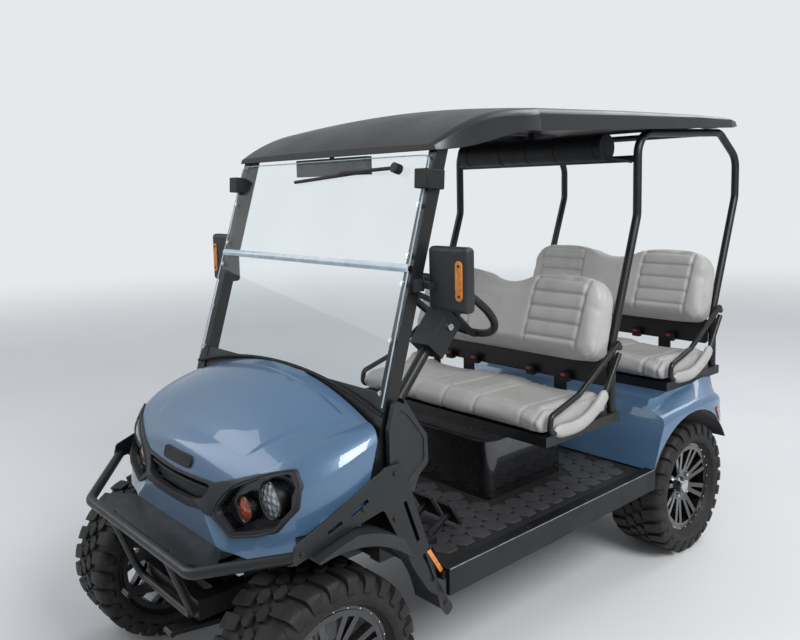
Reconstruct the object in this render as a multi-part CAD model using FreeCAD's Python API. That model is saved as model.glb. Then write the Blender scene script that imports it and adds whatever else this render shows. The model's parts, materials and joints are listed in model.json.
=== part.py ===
import FreeCAD, Part
import math
import os

# Four-seat golf cart, millimetres. Stations run along Y from the front axle, and the front faces -Y.
# The driver's side, left, is +X. The ground is Z = 0. The origin is put below the middle at the end.

# Driving sizes: the rest of the length follows the wheelbase, and the rest of the width the body
WHEELBASE = 1910.0
BODY_HALF_WIDTH = 584.0
SPREAD = 2.0 * BODY_HALF_WIDTH / 1168.0

# Wheels and axles
TYRE_RADIUS = 280.0
TYRE_WIDTH = 254.0
TRACK_HALF = BODY_HALF_WIDTH - 100.0
LUG_COUNT = 26
LUG_SHARE = 0.65
LUG_INNER_X = 38.0
GROOVE_RADIUS = 267.0
RIM_SEAT_RADIUS = 178.0
RIM_FLANGE_RADIUS = 190.0
RIM_HALF_WIDTH = 95.0
RIM_WALL = 7.0
SPOKE_PAIRS = 8
HUB_RADIUS = 52.0
HUB_INNER_X = TRACK_HALF + 16.0
SPINDLE_RADIUS = 20.0
SPINDLE_END_X = TRACK_HALF + 61.0
DRUM_INNER_X = TRACK_HALF - 90.0
KINGPIN_X = TRACK_HALF - 159.0
KINGPIN_RADIUS = 10.0
KNUCKLE_RADIUS = 24.0
KNUCKLE_HALF_HEIGHT = 52.0
STEER_ARM_Y = 110.0
STEER_ARM_INSET = 15.0
STEER_ARM_HALF = 14.0
ARM_BOTTOM_Z = 240.0
ARM_THICKNESS = 12.0
YOKE_CLEARANCE = 12.0
RACK_RADIUS = 11.0
RACK_Z = ARM_BOTTOM_Z - RACK_RADIUS - 3.5
RUN_GAP = 0.4

# Frame and floor
FRAME_BOTTOM = 345.0
FRAME_TOP = 405.0
FRAME_WALL_WIDTH = 50.0
FRONT_RAIL_X = 150.0
REAR_RAIL_X = 250.0
FRAME_FRONT_Y = -189.0
FRAME_STEP_Y = 450.0
FRAME_REAR_Y = WHEELBASE + 380.0
FLOOR_THICKNESS = 24.0
FLOOR_TOP_Z = FRAME_TOP + FLOOR_THICKNESS
FLOOR_HALF_WIDTH = BODY_HALF_WIDTH
FLOOR_FRONT_Y = 410.0
FLOOR_REAR_Y = WHEELBASE - 320.0
TOE_TOP_Y = 300.0
TOE_TOP_Z = 699.7
TOE_HALF_WIDTH = BODY_HALF_WIDTH - 31.0
MAT_THICKNESS = 6.0
ROCKER_OUTER_X = BODY_HALF_WIDTH + 16.0
ROCKER_BOTTOM_Z = 355.0
ROCKER_LIP = 3.0
ROCKER_FRONT_Y = 424.0
ROCKER_REAR_Y = WHEELBASE - 295.0

# Windshield and roof posts
SCREEN_BOTTOM = (222.0, 956.0)
SCREEN_TOP = (449.0, 1689.0)
SCREEN_HALF_BOTTOM = BODY_HALF_WIDTH - 43.0
SCREEN_HALF_TOP = BODY_HALF_WIDTH - 55.0
SCREEN_RISE = 74.0
SCREEN_FOLD = 0.55
SCREEN_THICKNESS = 5.0
POST_X = BODY_HALF_WIDTH - 60.0
POST_WIDTH = 34.0
POST_DEPTH = 44.0
POST_GAP = 1.0
POST_HEAD_Z = 1710.0
TUBE_RADIUS = 17.0

# Seats
SEAT_HALF_WIDTH = BODY_HALF_WIDTH - 72.0
SEAT_FRONT_Y = 975.0
SEAT_DEPTH = 455.0
SEAT_BOTTOM_Z = 690.0
CUSHION_HEIGHT = 98.0
SEAT_PITCH = WHEELBASE - 1070.0
SEAT_STEP = 45.0
BACK_BOTTOM = (1306.0, 915.0)
BACK_HEIGHT = 350.0
BACK_THICKNESS = 110.0
BACK_LEAN = 18.0
SEAT_TRAY_HEIGHT = 38.0
BASE_HALF_WIDTH = 330.0
BASE_FRONT_Y = 905.0
BASE_REAR_Y = 1335.0
BASE_WALL = 6.0

# Roof frame and roof shell
MID_POST_FOOT_Y = 1462.0
MID_POST_HEAD_Y = 1640.0
MID_POST_HEAD_Z = 1790.0
REAR_POST_X = SEAT_HALF_WIDTH - 22.0
REAR_POST_Y = WHEELBASE + 588.0
REAR_POST_TURN_Y = WHEELBASE + 420.0
REAR_POST_TURN_Z = 1813.0
ROOF_WALL = 6.0
VISOR_SECTIONS = 5

# Painted bodywork
PANEL = 8.0
COWL_FOOT_Z = 560.0
CHIN_BOTTOM_Z = 588.0
CHIN_FRONT_Y = -168.0
REAR_BODY_FRONT_Y = WHEELBASE - 310.0
REAR_FACE_LEAN = 22.0
REAR_BODY_LOW = 432.0
REAR_TAIL_LOW = 505.0
REAR_ARCH_RADIUS = 345.0
REAR_ARCH_Z = 275.0
FRONT_ARCH_RADIUS = 405.0
FLARE_INNER_RADIUS = 367.0
FLARE_OUTER_RADIUS = 402.0
FLARE_CENTRE = (12.0, 268.0)
GUARD_X = BODY_HALF_WIDTH - 14.0
GUARD_PLATE = 6.0
BUMPER_Z = 592.0
BUMPER_FRONT_Y = -296.0
BUMPER_TUBE_RADIUS = 16.0
BUMPER_BEND_X = 350.0
HOOP_RADIUS = 13.0

# Steering column
STEER_CENTRE = (262.0, 792.0, 1172.0)
STEER_ANGLE = 48.0
STEER_RING_RADIUS = 172.0
STEER_GRIP_RADIUS = 14.0
COLUMN_LENGTH = 590.0

# Tow tab
HITCH_Y = WHEELBASE + 492.0
HITCH_PLATE = 10.0
HITCH_HOLE_RADIUS = 9.75

REAR_END_Y = REAR_POST_Y + TUBE_RADIUS
FRONT_END_Y = BUMPER_FRONT_Y - BUMPER_TUBE_RADIUS
FRONT_AXLE_Y = -(FRONT_END_Y + REAR_END_Y) / 2.0

os.makedirs("parts", exist_ok=True)


def V(x, y, z):
    return FreeCAD.Vector(x, y, z)


def save(name, *solids):
    """Shift the solids from stations to the cart's origin and write them as one node."""
    placed = []
    for solid in solids:
        copy = solid.copy()
        copy.translate(V(0, FRONT_AXLE_Y, 0))
        placed.append(copy)
    shape = placed[0] if len(placed) == 1 else Part.makeCompound(placed)
    shape.exportStep("parts/" + name + ".step")


def mirror(shape):
    return shape.mirror(V(0, 0, 0), V(1, 0, 0))


def both(shape):
    """The left piece and its mirror image on the right."""
    return [shape, mirror(shape)]


def box(x0, x1, y0, y1, z0, z1):
    return Part.makeBox(x1 - x0, y1 - y0, z1 - z0, V(x0, y0, z0))


def rod(start, end, radius):
    """Round bar between two points."""
    run = V(*end) - V(*start)
    return Part.makeCylinder(radius, run.Length, V(*start), run)


def join(first, *others):
    return first.fuse(list(others)).removeSplitter()


def side_profile(points, x0, x1):
    """Closed outline of (y, z) points, extruded from x0 to x1."""
    corners = [V(x0, y, z) for y, z in points]
    face = Part.Face(Part.makePolygon(corners + corners[:1]))
    return face.extrude(V(x1 - x0, 0, 0))


def front_profile(points, y0, y1):
    """Closed outline of (x, z) points, extruded from y0 to y1."""
    corners = [V(x, y0, z) for x, z in points]
    face = Part.Face(Part.makePolygon(corners + corners[:1]))
    return face.extrude(V(0, y1 - y0, 0))


def plan_profile(points, z0, z1):
    """Closed outline of (x, y) points, extruded from z0 to z1."""
    corners = [V(x, y, z0) for x, y in points]
    face = Part.Face(Part.makePolygon(corners + corners[:1]))
    return face.extrude(V(0, 0, z1 - z0))


def rounded_wire(spots, bend):
    """Closed outline with a tangent arc at each corner, smaller where an edge is short."""
    count = len(spots)
    arcs = []
    for index, corner in enumerate(spots):
        before = spots[index - 1]
        after = spots[(index + 1) % count]
        arriving = (corner - before).normalize()
        leaving = (after - corner).normalize()
        turn = arriving.getAngle(leaving)
        if turn < 0.03:
            continue
        room = 0.45 * min((corner - before).Length, (after - corner).Length)
        reach = min(bend * math.tan(turn / 2.0), room)
        radius = reach / math.tan(turn / 2.0)
        middle = corner + (leaving - arriving).normalize() * (radius / math.cos(turn / 2.0) - radius)
        arcs.append((corner - arriving * reach, middle, corner + leaving * reach))
    edges = []
    for (start, middle, end), (following, _, _) in zip(arcs, arcs[1:] + arcs[:1]):
        edges.append(Part.Arc(start, middle, end).toShape())
        edges.append(Part.LineSegment(end, following).toShape())
    return Part.Wire(edges)


def round_side(points, x0, x1, bend):
    """Outline of (y, z) points with rounded corners, extruded from x0 to x1."""
    wire = rounded_wire([V(x0, y, z) for y, z in points], bend)
    return Part.Face(wire).extrude(V(x1 - x0, 0, 0))


def round_front(points, y0, y1, bend, grow=0.0):
    """Outline of (x, z) points with rounded corners, spread with the body, extruded from y0 to y1."""
    wire = rounded_wire([V(x * SPREAD, y0, z) for x, z in points], bend)
    if grow:
        wire = wire.makeOffset2D(grow)
    return Part.Face(wire).extrude(V(0, y1 - y0, 0))


def bent_path(points, bend):
    """Straight runs joined by tangent arcs of one bend radius."""
    spots = [V(*p) for p in points]
    edges = []
    last = spots[0]
    for before, corner, after in zip(spots, spots[1:], spots[2:]):
        arriving = (corner - before).normalize()
        leaving = (after - corner).normalize()
        turn = arriving.getAngle(leaving)
        reach = bend * math.tan(turn / 2.0)
        start = corner - arriving * reach
        end = corner + leaving * reach
        inward = (leaving - arriving).normalize()
        middle = corner + inward * (bend / math.cos(turn / 2.0) - bend)
        edges.append(Part.LineSegment(last, start).toShape())
        edges.append(Part.Arc(start, middle, end).toShape())
        last = end
    edges.append(Part.LineSegment(last, spots[-1]).toShape())
    return Part.Wire(edges)


def tube(points, radius, bend):
    """Round bar along straight runs and bends."""
    path = bent_path(points, bend)
    start = V(*points[0])
    circle = Part.Wire(Part.Circle(start, V(*points[1]) - start, radius).toShape())
    return path.makePipeShell([circle], True, True)


def revolve_x(points, centre_x):
    """Turn an (x, radius) outline about the wheel's axis, which runs along X at hub height."""
    corners = [V(centre_x + x, 0, r) for x, r in points]
    face = Part.Face(Part.makePolygon(corners + corners[:1]))
    solid = face.revolve(V(0, 0, 0), V(1, 0, 0), 360)
    solid.translate(V(0, 0, TYRE_RADIUS))
    return solid


# Frame: two narrow front rails, two wide rear rails and cross members
def make_frame():
    half = FRAME_WALL_WIDTH / 2.0
    overlap = 30.0
    front = box(FRONT_RAIL_X - half, FRONT_RAIL_X + half, FRAME_FRONT_Y, FRAME_STEP_Y + overlap,
                FRAME_BOTTOM, FRAME_TOP)
    rear = box(REAR_RAIL_X - half, REAR_RAIL_X + half, FRAME_STEP_Y - overlap, FRAME_REAR_Y,
               FRAME_BOTTOM, FRAME_TOP)
    pieces = both(front) + both(rear)
    members = [
        (FRAME_FRONT_Y + half, FRONT_RAIL_X),
        (FRAME_STEP_Y, REAR_RAIL_X),
        (BASE_FRONT_Y + half, FLOOR_HALF_WIDTH - half),
        (BASE_REAR_Y - half, FLOOR_HALF_WIDTH - half),
        (REAR_BODY_FRONT_Y - half, FLOOR_HALF_WIDTH - half),
        (FRAME_REAR_Y - half, REAR_RAIL_X),
    ]
    for y, reach in members:
        pieces.append(box(-reach, reach, y - half, y + half, FRAME_BOTTOM + 4.0, FRAME_TOP))
    return join(*pieces)


def leaf_spring(x, y, seat_z, half_length):
    """Leaf pack from the axle seat up to the eyes below the rail."""
    leaf = 7.0
    eye_z = FRAME_BOTTOM - 9.0
    outline = [
        (y - half_length, eye_z - 4.0), (y - half_length * 0.5, seat_z + 8.0), (y - 70.0, seat_z),
        (y + 70.0, seat_z), (y + half_length * 0.5, seat_z + 8.0), (y + half_length, eye_z - 4.0),
        (y + half_length, eye_z + leaf), (y + half_length * 0.5, seat_z + 8.0 + 2 * leaf),
        (y + 60.0, seat_z + 3 * leaf), (y - 60.0, seat_z + 3 * leaf),
        (y - half_length * 0.5, seat_z + 8.0 + 2 * leaf), (y - half_length, eye_z + leaf),
    ]
    half = 22.0
    spring = side_profile(outline, x - half, x + half)
    eyes = []
    for end in (y - half_length, y + half_length):
        eyes.append(rod((x - half, end, eye_z), (x + half, end, eye_z), 9.0))
    return spring.fuse(eyes)


# Front axle: beam, C-shaped yokes with kingpins, leaf springs and the rack housing
def make_front_axle():
    ear = 12.0
    top = TYRE_RADIUS + KNUCKLE_HALF_HEIGHT + RUN_GAP
    low = TYRE_RADIUS - KNUCKLE_HALF_HEIGHT - RUN_GAP
    web = KINGPIN_X - KNUCKLE_RADIUS - YOKE_CLEARANCE
    beam_half = 24.0
    pieces = [box(-web, web, -beam_half, beam_half, TYRE_RADIUS - beam_half, TYRE_RADIUS + beam_half)]
    yoke = [
        box(web - 14.0, web, -beam_half, beam_half, low - ear, top + ear),
        box(web - 14.0, KINGPIN_X, -beam_half, beam_half, top, top + ear),
        box(web - 14.0, KINGPIN_X, -beam_half, beam_half, low - ear, low),
        rod((KINGPIN_X, 0, top), (KINGPIN_X, 0, top + ear), beam_half),
        rod((KINGPIN_X, 0, low - ear), (KINGPIN_X, 0, low), beam_half),
        rod((KINGPIN_X, 0, low - ear - 6.0), (KINGPIN_X, 0, top + ear + 6.0), KINGPIN_RADIUS),
    ]
    for piece in yoke:
        pieces += both(piece)
    pieces += both(leaf_spring(FRONT_RAIL_X, 0.0, TYRE_RADIUS + beam_half, 270.0))
    housing = box(-235.0, 235.0, STEER_ARM_Y - 20.0, STEER_ARM_Y + 20.0, RACK_Z - 19.0, RACK_Z + 19.0)
    bore = rod((-240.0, STEER_ARM_Y, RACK_Z), (240.0, STEER_ARM_Y, RACK_Z), RACK_RADIUS + RUN_GAP)
    pieces.append(housing)
    for x in (-180.0, 180.0):
        pieces.append(box(x - 20.0, x + 20.0, beam_half - 4.0, STEER_ARM_Y, RACK_Z - 10.0, RACK_Z + 32.0))
    return join(*pieces).cut(bore)


# Knuckle: round post on the kingpin, spindle outward and steering arm rearward
def make_knuckle():
    low = TYRE_RADIUS - KNUCKLE_HALF_HEIGHT
    high = TYRE_RADIUS + KNUCKLE_HALF_HEIGHT
    post = rod((KINGPIN_X, 0, low), (KINGPIN_X, 0, high), KNUCKLE_RADIUS)
    spindle = rod((KINGPIN_X, 0, TYRE_RADIUS), (SPINDLE_END_X, 0, TYRE_RADIUS), SPINDLE_RADIUS)
    collar = rod((KINGPIN_X, 0, TYRE_RADIUS), (HUB_INNER_X - 5.0, 0, TYRE_RADIUS), SPINDLE_RADIUS + 16.0)
    tip_x = KINGPIN_X - STEER_ARM_INSET
    arm_half = STEER_ARM_HALF
    root_x = KINGPIN_X + 8.0
    arm = plan_profile([
        (root_x - arm_half, 0.0), (root_x + arm_half, 0.0),
        (tip_x + arm_half, STEER_ARM_Y), (tip_x - arm_half, STEER_ARM_Y),
    ], ARM_BOTTOM_Z, ARM_BOTTOM_Z + ARM_THICKNESS)
    arm_top = ARM_BOTTOM_Z + ARM_THICKNESS
    eye = rod((tip_x, STEER_ARM_Y, ARM_BOTTOM_Z), (tip_x, STEER_ARM_Y, arm_top), arm_half)
    bore = rod((KINGPIN_X, 0, low - 1.0), (KINGPIN_X, 0, high + 1.0), KINGPIN_RADIUS + RUN_GAP)
    return join(post, spindle, collar, arm, eye).cut(bore)


# Rack bar: slides in its housing and ends in two sockets below the steering arms
def make_rack_bar():
    reach = KINGPIN_X - STEER_ARM_INSET
    bar = rod((-reach, STEER_ARM_Y, RACK_Z), (reach, STEER_ARM_Y, RACK_Z), RACK_RADIUS)
    socket = rod((reach, STEER_ARM_Y, RACK_Z - 14.0), (reach, STEER_ARM_Y, ARM_BOTTOM_Z - RUN_GAP), 15.0)
    return join(bar, *both(socket))


# Rear axle: tubes, gear case, motor, leaf springs, drums and stub shafts
def make_rear_axle():
    y = WHEELBASE
    z = TYRE_RADIUS
    tube_radius = 32.0
    pieces = [rod((-DRUM_INNER_X, y, z), (DRUM_INNER_X, y, z), tube_radius)]
    pieces += both(rod((DRUM_INNER_X, y, z), (DRUM_INNER_X + 52.0, y, z), 98.0))
    pieces += both(rod((DRUM_INNER_X, y, z), (SPINDLE_END_X, y, z), SPINDLE_RADIUS))
    pieces.append(rod((-95.0, y, z), (25.0, y, z), 92.0))
    pieces.append(rod((-80.0, y + 130.0, z + 8.0), (15.0, y + 130.0, z + 8.0), 70.0))
    pieces.append(box(-80.0, 15.0, y, y + 130.0, z - 60.0, z + 60.0))
    pieces.append(rod((15.0, y + 130.0, z + 8.0), (205.0, y + 130.0, z + 8.0), 82.0))
    pieces += both(leaf_spring(REAR_RAIL_X, y, z + tube_radius - 4.0, 300.0))
    return join(*pieces)


# Tyre: flat facets round the bead and sidewalls, and one row of tread lugs on each shoulder
def make_tyre(side):
    half = TYRE_WIDTH / 2.0
    turn = 360.0 / LUG_COUNT
    snug = math.cos(math.radians(turn * LUG_SHARE / 2.0))
    bead_x = RIM_HALF_WIDTH - 5.5
    wall = [(bead_x, (RIM_SEAT_RADIUS + 0.3) / snug), (bead_x, (RIM_FLANGE_RADIUS + 0.5) / snug),
            (half - 5.0, 212.0), (half, 246.0)]
    lug = [(half - 15.0, TYRE_RADIUS), (LUG_INNER_X, TYRE_RADIUS), (LUG_INNER_X, GROOVE_RADIUS)]
    groove = lug[-1:]

    def spot(point, angle):
        x, radius = point
        turned = math.radians(angle)
        return V(TRACK_HALF + x, radius * math.cos(turned), TYRE_RADIUS + radius * math.sin(turned))

    faces = []
    for index in range(LUG_COUNT):
        start = index * turn - 90.0
        middle = start + turn * LUG_SHARE
        for low, high, crown in ((start, middle, lug), (middle, start + turn, groove)):
            loop = wall + crown
            loop = loop + [(-x, r) for x, r in reversed(loop)]
            for inner, outer in zip(loop, loop[1:] + loop[:1]):
                corners = [spot(inner, low), spot(outer, low), spot(outer, high), spot(inner, high)]
                faces.append(Part.Face(Part.makePolygon(corners + corners[:1])))
        for angle in (start, middle):
            for sign in (1.0, -1.0):
                corners = [spot((sign * x, r), angle) for x, r in wall[-1:] + lug]
                faces.append(Part.Face(Part.makePolygon(corners + corners[:1])))
    shell = Part.Compound(faces)
    shell.sewShape()
    tyre = Part.Solid(shell.Shells[0])
    if tyre.Volume < 0.0:
        tyre.reverse()
    return tyre if side > 0 else mirror(tyre)


# Rim: barrel with two flanges, a dished disc of twin spokes, and a hub
def make_rim(side):
    edge = RIM_HALF_WIDTH
    inner = RIM_SEAT_RADIUS - RIM_WALL
    barrel = revolve_x([
        (-edge, inner), (edge, inner), (edge, RIM_FLANGE_RADIUS), (edge - 5.0, RIM_FLANGE_RADIUS),
        (edge - 5.0, RIM_SEAT_RADIUS), (-edge + 5.0, RIM_SEAT_RADIUS),
        (-edge + 5.0, RIM_FLANGE_RADIUS), (-edge, RIM_FLANGE_RADIUS),
    ], TRACK_HALF)
    disc = revolve_x([
        (44.0, 0.0), (44.0, HUB_RADIUS), (66.0, inner + 1.0), (edge, inner + 1.0),
        (edge, inner - 10.0), (74.0, HUB_RADIUS + 6.0), (70.0, 0.0),
    ], TRACK_HALF)
    turn = 360.0 / SPOKE_PAIRS
    cutters = []
    for pair in range(SPOKE_PAIRS):
        for angle, window in ((0.0, rim_window(HUB_RADIUS + 16.0, 7.0, 32.0)),
                              (turn / 2.0, rim_window(HUB_RADIUS + 30.0, 2.5, 12.0))):
            window.rotate(V(0, 0, TYRE_RADIUS), V(1, 0, 0), pair * turn + angle)
            cutters.append(window)
    hub = rod((HUB_INNER_X, 0, TYRE_RADIUS), (TRACK_HALF + 84.0, 0, TYRE_RADIUS), 34.0)
    bore = rod((HUB_INNER_X - 60.0, 0, TYRE_RADIUS), (SPINDLE_END_X + 0.5, 0, TYRE_RADIUS),
               SPINDLE_RADIUS + RUN_GAP)
    rim = barrel.fuse(disc).cut(cutters).fuse(hub).cut(bore)
    return rim if side > 0 else mirror(rim)


def rim_window(low, low_half, high_half):
    """Opening between two spokes, from a low radius out to the barrel, seen along the axle."""
    high = RIM_SEAT_RADIUS - RIM_WALL - 12.0
    return side_profile([
        (-low_half, TYRE_RADIUS + low), (low_half, TYRE_RADIUS + low),
        (high_half, TYRE_RADIUS + high), (-high_half, TYRE_RADIUS + high),
    ], TRACK_HALF + 20.0, TRACK_HALF + 130.0)


# Floor pan with the toe board that rises to the dash
def make_floor():
    slab = box(-FLOOR_HALF_WIDTH, FLOOR_HALF_WIDTH, FLOOR_FRONT_Y, FLOOR_REAR_Y, FRAME_TOP, FLOOR_TOP_Z)
    toe = side_profile([
        (FLOOR_FRONT_Y, FLOOR_TOP_Z), (FLOOR_FRONT_Y + 12.0, FLOOR_TOP_Z),
        (TOE_TOP_Y + 12.0, TOE_TOP_Z), (TOE_TOP_Y, TOE_TOP_Z),
    ], -TOE_HALF_WIDTH, TOE_HALF_WIDTH)
    return join(slab, toe).cut(column_clearance())


def make_mat():
    """Rubber mat on both sides of the seat base, and before and behind it."""
    margin = 12.0
    edge = FLOOR_HALF_WIDTH - margin
    top = FLOOR_TOP_Z + MAT_THICKNESS
    mat = box(-edge, edge, FLOOR_FRONT_Y + 20.0, FLOOR_REAR_Y - margin, FLOOR_TOP_Z, top)
    hole = box(-BASE_HALF_WIDTH, BASE_HALF_WIDTH, BASE_FRONT_Y, BASE_REAR_Y, FLOOR_TOP_Z, top)
    return mat.cut(hole)


def make_rocker():
    """Channel along the side of the floor, with its lip on the mat's edge."""
    lip = 26.0
    top = FLOOR_TOP_Z + MAT_THICKNESS + ROCKER_LIP
    outline = [
        (FLOOR_HALF_WIDTH, ROCKER_BOTTOM_Z), (ROCKER_OUTER_X, ROCKER_BOTTOM_Z), (ROCKER_OUTER_X, top),
        (FLOOR_HALF_WIDTH - lip, top), (FLOOR_HALF_WIDTH - lip, top - ROCKER_LIP),
        (FLOOR_HALF_WIDTH, top - ROCKER_LIP),
    ]
    return front_profile(outline, ROCKER_FRONT_Y, ROCKER_REAR_Y)


# Windshield: two flat panes on one sloping plane, with an arched lower edge
def screen_point(share, x, depth=0.0):
    """Point on the screen's plane: share of the way up, and depth behind the plane."""
    rise = V(0, SCREEN_TOP[0] - SCREEN_BOTTOM[0], SCREEN_TOP[1] - SCREEN_BOTTOM[1])
    back = V(0, rise.z, -rise.y).normalize()
    base = V(x, SCREEN_BOTTOM[0], SCREEN_BOTTOM[1])
    return base + rise * share + back * depth


def screen_half(share):
    return SCREEN_HALF_BOTTOM + (SCREEN_HALF_TOP - SCREEN_HALF_BOTTOM) * share


def screen_back():
    rise = V(0, SCREEN_TOP[0] - SCREEN_BOTTOM[0], SCREEN_TOP[1] - SCREEN_BOTTOM[1])
    return V(0, rise.z, -rise.y).normalize()


def make_lower_screen():
    low = screen_half(0.0)
    high = screen_half(SCREEN_FOLD)
    length = math.dist(SCREEN_BOTTOM, SCREEN_TOP)
    left_low = screen_point(0.0, low)
    right_low = screen_point(0.0, -low)
    edges = [
        Part.Arc(left_low, screen_point(SCREEN_RISE / length, 0.0), right_low).toShape(),
        Part.LineSegment(right_low, screen_point(SCREEN_FOLD, -high)).toShape(),
        Part.LineSegment(screen_point(SCREEN_FOLD, -high), screen_point(SCREEN_FOLD, high)).toShape(),
        Part.LineSegment(screen_point(SCREEN_FOLD, high), left_low).toShape(),
    ]
    return Part.Face(Part.Wire(edges)).extrude(screen_back() * SCREEN_THICKNESS)


def make_upper_screen():
    split = SCREEN_FOLD + 0.006
    corners = [
        screen_point(split, screen_half(split)), screen_point(split, -screen_half(split)),
        screen_point(1.0, -SCREEN_HALF_TOP), screen_point(1.0, SCREEN_HALF_TOP),
    ]
    face = Part.Face(Part.makePolygon(corners + corners[:1]))
    return face.extrude(screen_back() * SCREEN_THICKNESS)


def make_screen_seal():
    """Rubber gasket under the arched edge of the lower pane."""
    length = math.dist(SCREEN_BOTTOM, SCREEN_TOP)
    low = screen_half(0.0)
    depth = -1.2
    arc = Part.Arc(screen_point(-0.0087, low, depth), screen_point(SCREEN_RISE / length - 0.0087, 0.0, depth),
                   screen_point(-0.0087, -low, depth))
    path = Part.Wire(arc.toShape())
    start = path.Edges[0].valueAt(path.Edges[0].FirstParameter)
    tangent = path.Edges[0].tangentAt(path.Edges[0].FirstParameter)
    ring = Part.Wire(Part.Circle(start, tangent, 6.0).toShape())
    return path.makePipeShell([ring], True, True)


# Front posts follow the screen, just behind it
def make_front_post():
    depth = SCREEN_THICKNESS + POST_GAP
    foot = -0.30
    head = 1.08
    corners = []
    for share, back in ((foot, depth), (head, depth), (head, depth + POST_DEPTH), (foot, depth + POST_DEPTH)):
        corners.append(screen_point(share, POST_X - POST_WIDTH / 2.0, back))
    face = Part.Face(Part.makePolygon(corners + corners[:1]))
    post = face.extrude(V(POST_WIDTH, 0, 0))
    return post.cut(box(0, 700.0, 0, 900.0, POST_HEAD_Z, 1900.0))


# Rear frame of the roof: mid posts, and rear posts that turn forward below the roof
ROOF_TUBE = [
    (MID_POST_FOOT_Y, SEAT_BOTTOM_Z + 0.3), (MID_POST_FOOT_Y, 955.0), (MID_POST_HEAD_Y, 1465.0),
    (MID_POST_HEAD_Y, MID_POST_HEAD_Z), (REAR_POST_TURN_Y, REAR_POST_TURN_Z), (REAR_POST_Y, 1700.0),
    (REAR_POST_Y, 1520.0), (MID_POST_FOOT_Y + SEAT_PITCH, 1000.0),
    (MID_POST_FOOT_Y + SEAT_PITCH, SEAT_BOTTOM_Z + SEAT_STEP + 0.3),
]


def roof_tube_z(y):
    """Height of the roof tube's middle on its long run below the shell."""
    share = (y - MID_POST_HEAD_Y) / (REAR_POST_TURN_Y - MID_POST_HEAD_Y)
    return MID_POST_HEAD_Z + share * (REAR_POST_TURN_Z - MID_POST_HEAD_Z)


def make_rear_frame():
    pieces = []
    for sign in (1.0, -1.0):
        x = sign * REAR_POST_X
        pieces.append(tube([(x, y, z) for y, z in ROOF_TUBE], TUBE_RADIUS, 90.0))
    cross = TUBE_RADIUS - 3.0
    rear_y = REAR_POST_TURN_Y - 80.0
    for y, z in ((MID_POST_HEAD_Y, 1690.0), (rear_y, roof_tube_z(rear_y))):
        pieces.append(rod((-REAR_POST_X, y, z), (REAR_POST_X, y, z), cross))
    return join(*pieces)


# Roof: curved visor in front, then straight runs to the rear lip.
# Columns: station, half width beyond the post, edge height, side height, crown height
ROOF_SECTIONS = [
    (446.0, 25.5, 1702.0, 1716.0, 1728.0),
    (500.0, 37.0, 1705.0, 1742.0, 1764.0),
    (560.0, 41.0, 1712.0, 1768.0, 1796.0),
    (700.0, 43.0, 1740.0, 1806.0, 1846.0),
    (930.0, 38.0, 1772.0, 1828.0, 1876.0),
    (1500.0, 36.0, 1796.0, 1848.0, 1890.0),
    (WHEELBASE + 120.0, 34.0, 1819.0, 1864.0, 1892.0),
    (WHEELBASE + 420.0, 28.0, 1832.0, 1868.0, 1888.0),
    (WHEELBASE + 500.0, 10.0, 1842.0, 1864.0, 1880.0),
    (WHEELBASE + 528.0, -20.0, 1850.0, 1860.0, 1868.0),
]


def roof_wire(y, half, edge, side, crown):
    draft = 8.0
    right = V(-half, y, edge)
    left = V(half, y, edge)
    shoulder = half - draft
    knee = shoulder - 34.0
    knee_z = side + (crown - side) * 0.45
    edges = [
        Part.LineSegment(right, left).toShape(),
        Part.LineSegment(left, V(shoulder, y, side)).toShape(),
        Part.Arc(V(shoulder, y, side), V(shoulder - 9.0, y, side + (knee_z - side) * 0.6),
                 V(knee, y, knee_z)).toShape(),
        Part.Arc(V(knee, y, knee_z), V(0, y, crown), V(-knee, y, knee_z)).toShape(),
        Part.Arc(V(-knee, y, knee_z), V(-shoulder + 9.0, y, side + (knee_z - side) * 0.6),
                 V(-shoulder, y, side)).toShape(),
        Part.LineSegment(V(-shoulder, y, side), right).toShape(),
    ]
    return Part.Wire(edges)


def roof_block(wall, drop):
    """The roof's block, shrunk by one wall, with its underside lowered."""
    wires = []
    last = len(ROOF_SECTIONS) - 1
    for index, (y, beyond, edge, side, crown) in enumerate(ROOF_SECTIONS):
        y += wall if index == 0 else -wall if index == last else 0.0
        wires.append(roof_wire(y, POST_X + beyond - wall, edge - drop, side - wall, crown - wall))
    visor = Part.makeLoft(wires[:VISOR_SECTIONS], True, False)
    deck = Part.makeLoft(wires[VISOR_SECTIONS - 1:], True, True)
    return visor.fuse(deck)


def make_roof():
    pads = both(box(POST_X - 17.0, POST_X + 15.0, 462.0, 496.0, POST_HEAD_Z + 0.3, 1900.0))
    for y0, y1 in ((1740.0, 1800.0), (REAR_POST_TURN_Y - 130.0, REAR_POST_TURN_Y - 70.0)):
        foot = roof_tube_z(y1) + TUBE_RADIUS + 0.9
        pads += both(box(REAR_POST_X - 22.0, REAR_POST_X + 22.0, y0, y1, foot, 1900.0))
    cavity = roof_block(ROOF_WALL, 30.0).cut(pads)
    shell = roof_block(0.0, 0.0).cut(cavity)
    return max(shell.Solids, key=lambda solid: solid.Volume)


def make_sound_bar():
    """Round bar below the roof, with two brackets to the mid posts' cross tube."""
    y = 1575.0
    z = 1738.0
    body = rod((-390.0, y, z), (390.0, y, z), 54.0)
    pieces = [body]
    for x in (-300.0, 300.0):
        pieces.append(box(x - 15.0, x + 15.0, y, 1650.0, 1704.3, 1712.0))
    return join(*pieces)


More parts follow.
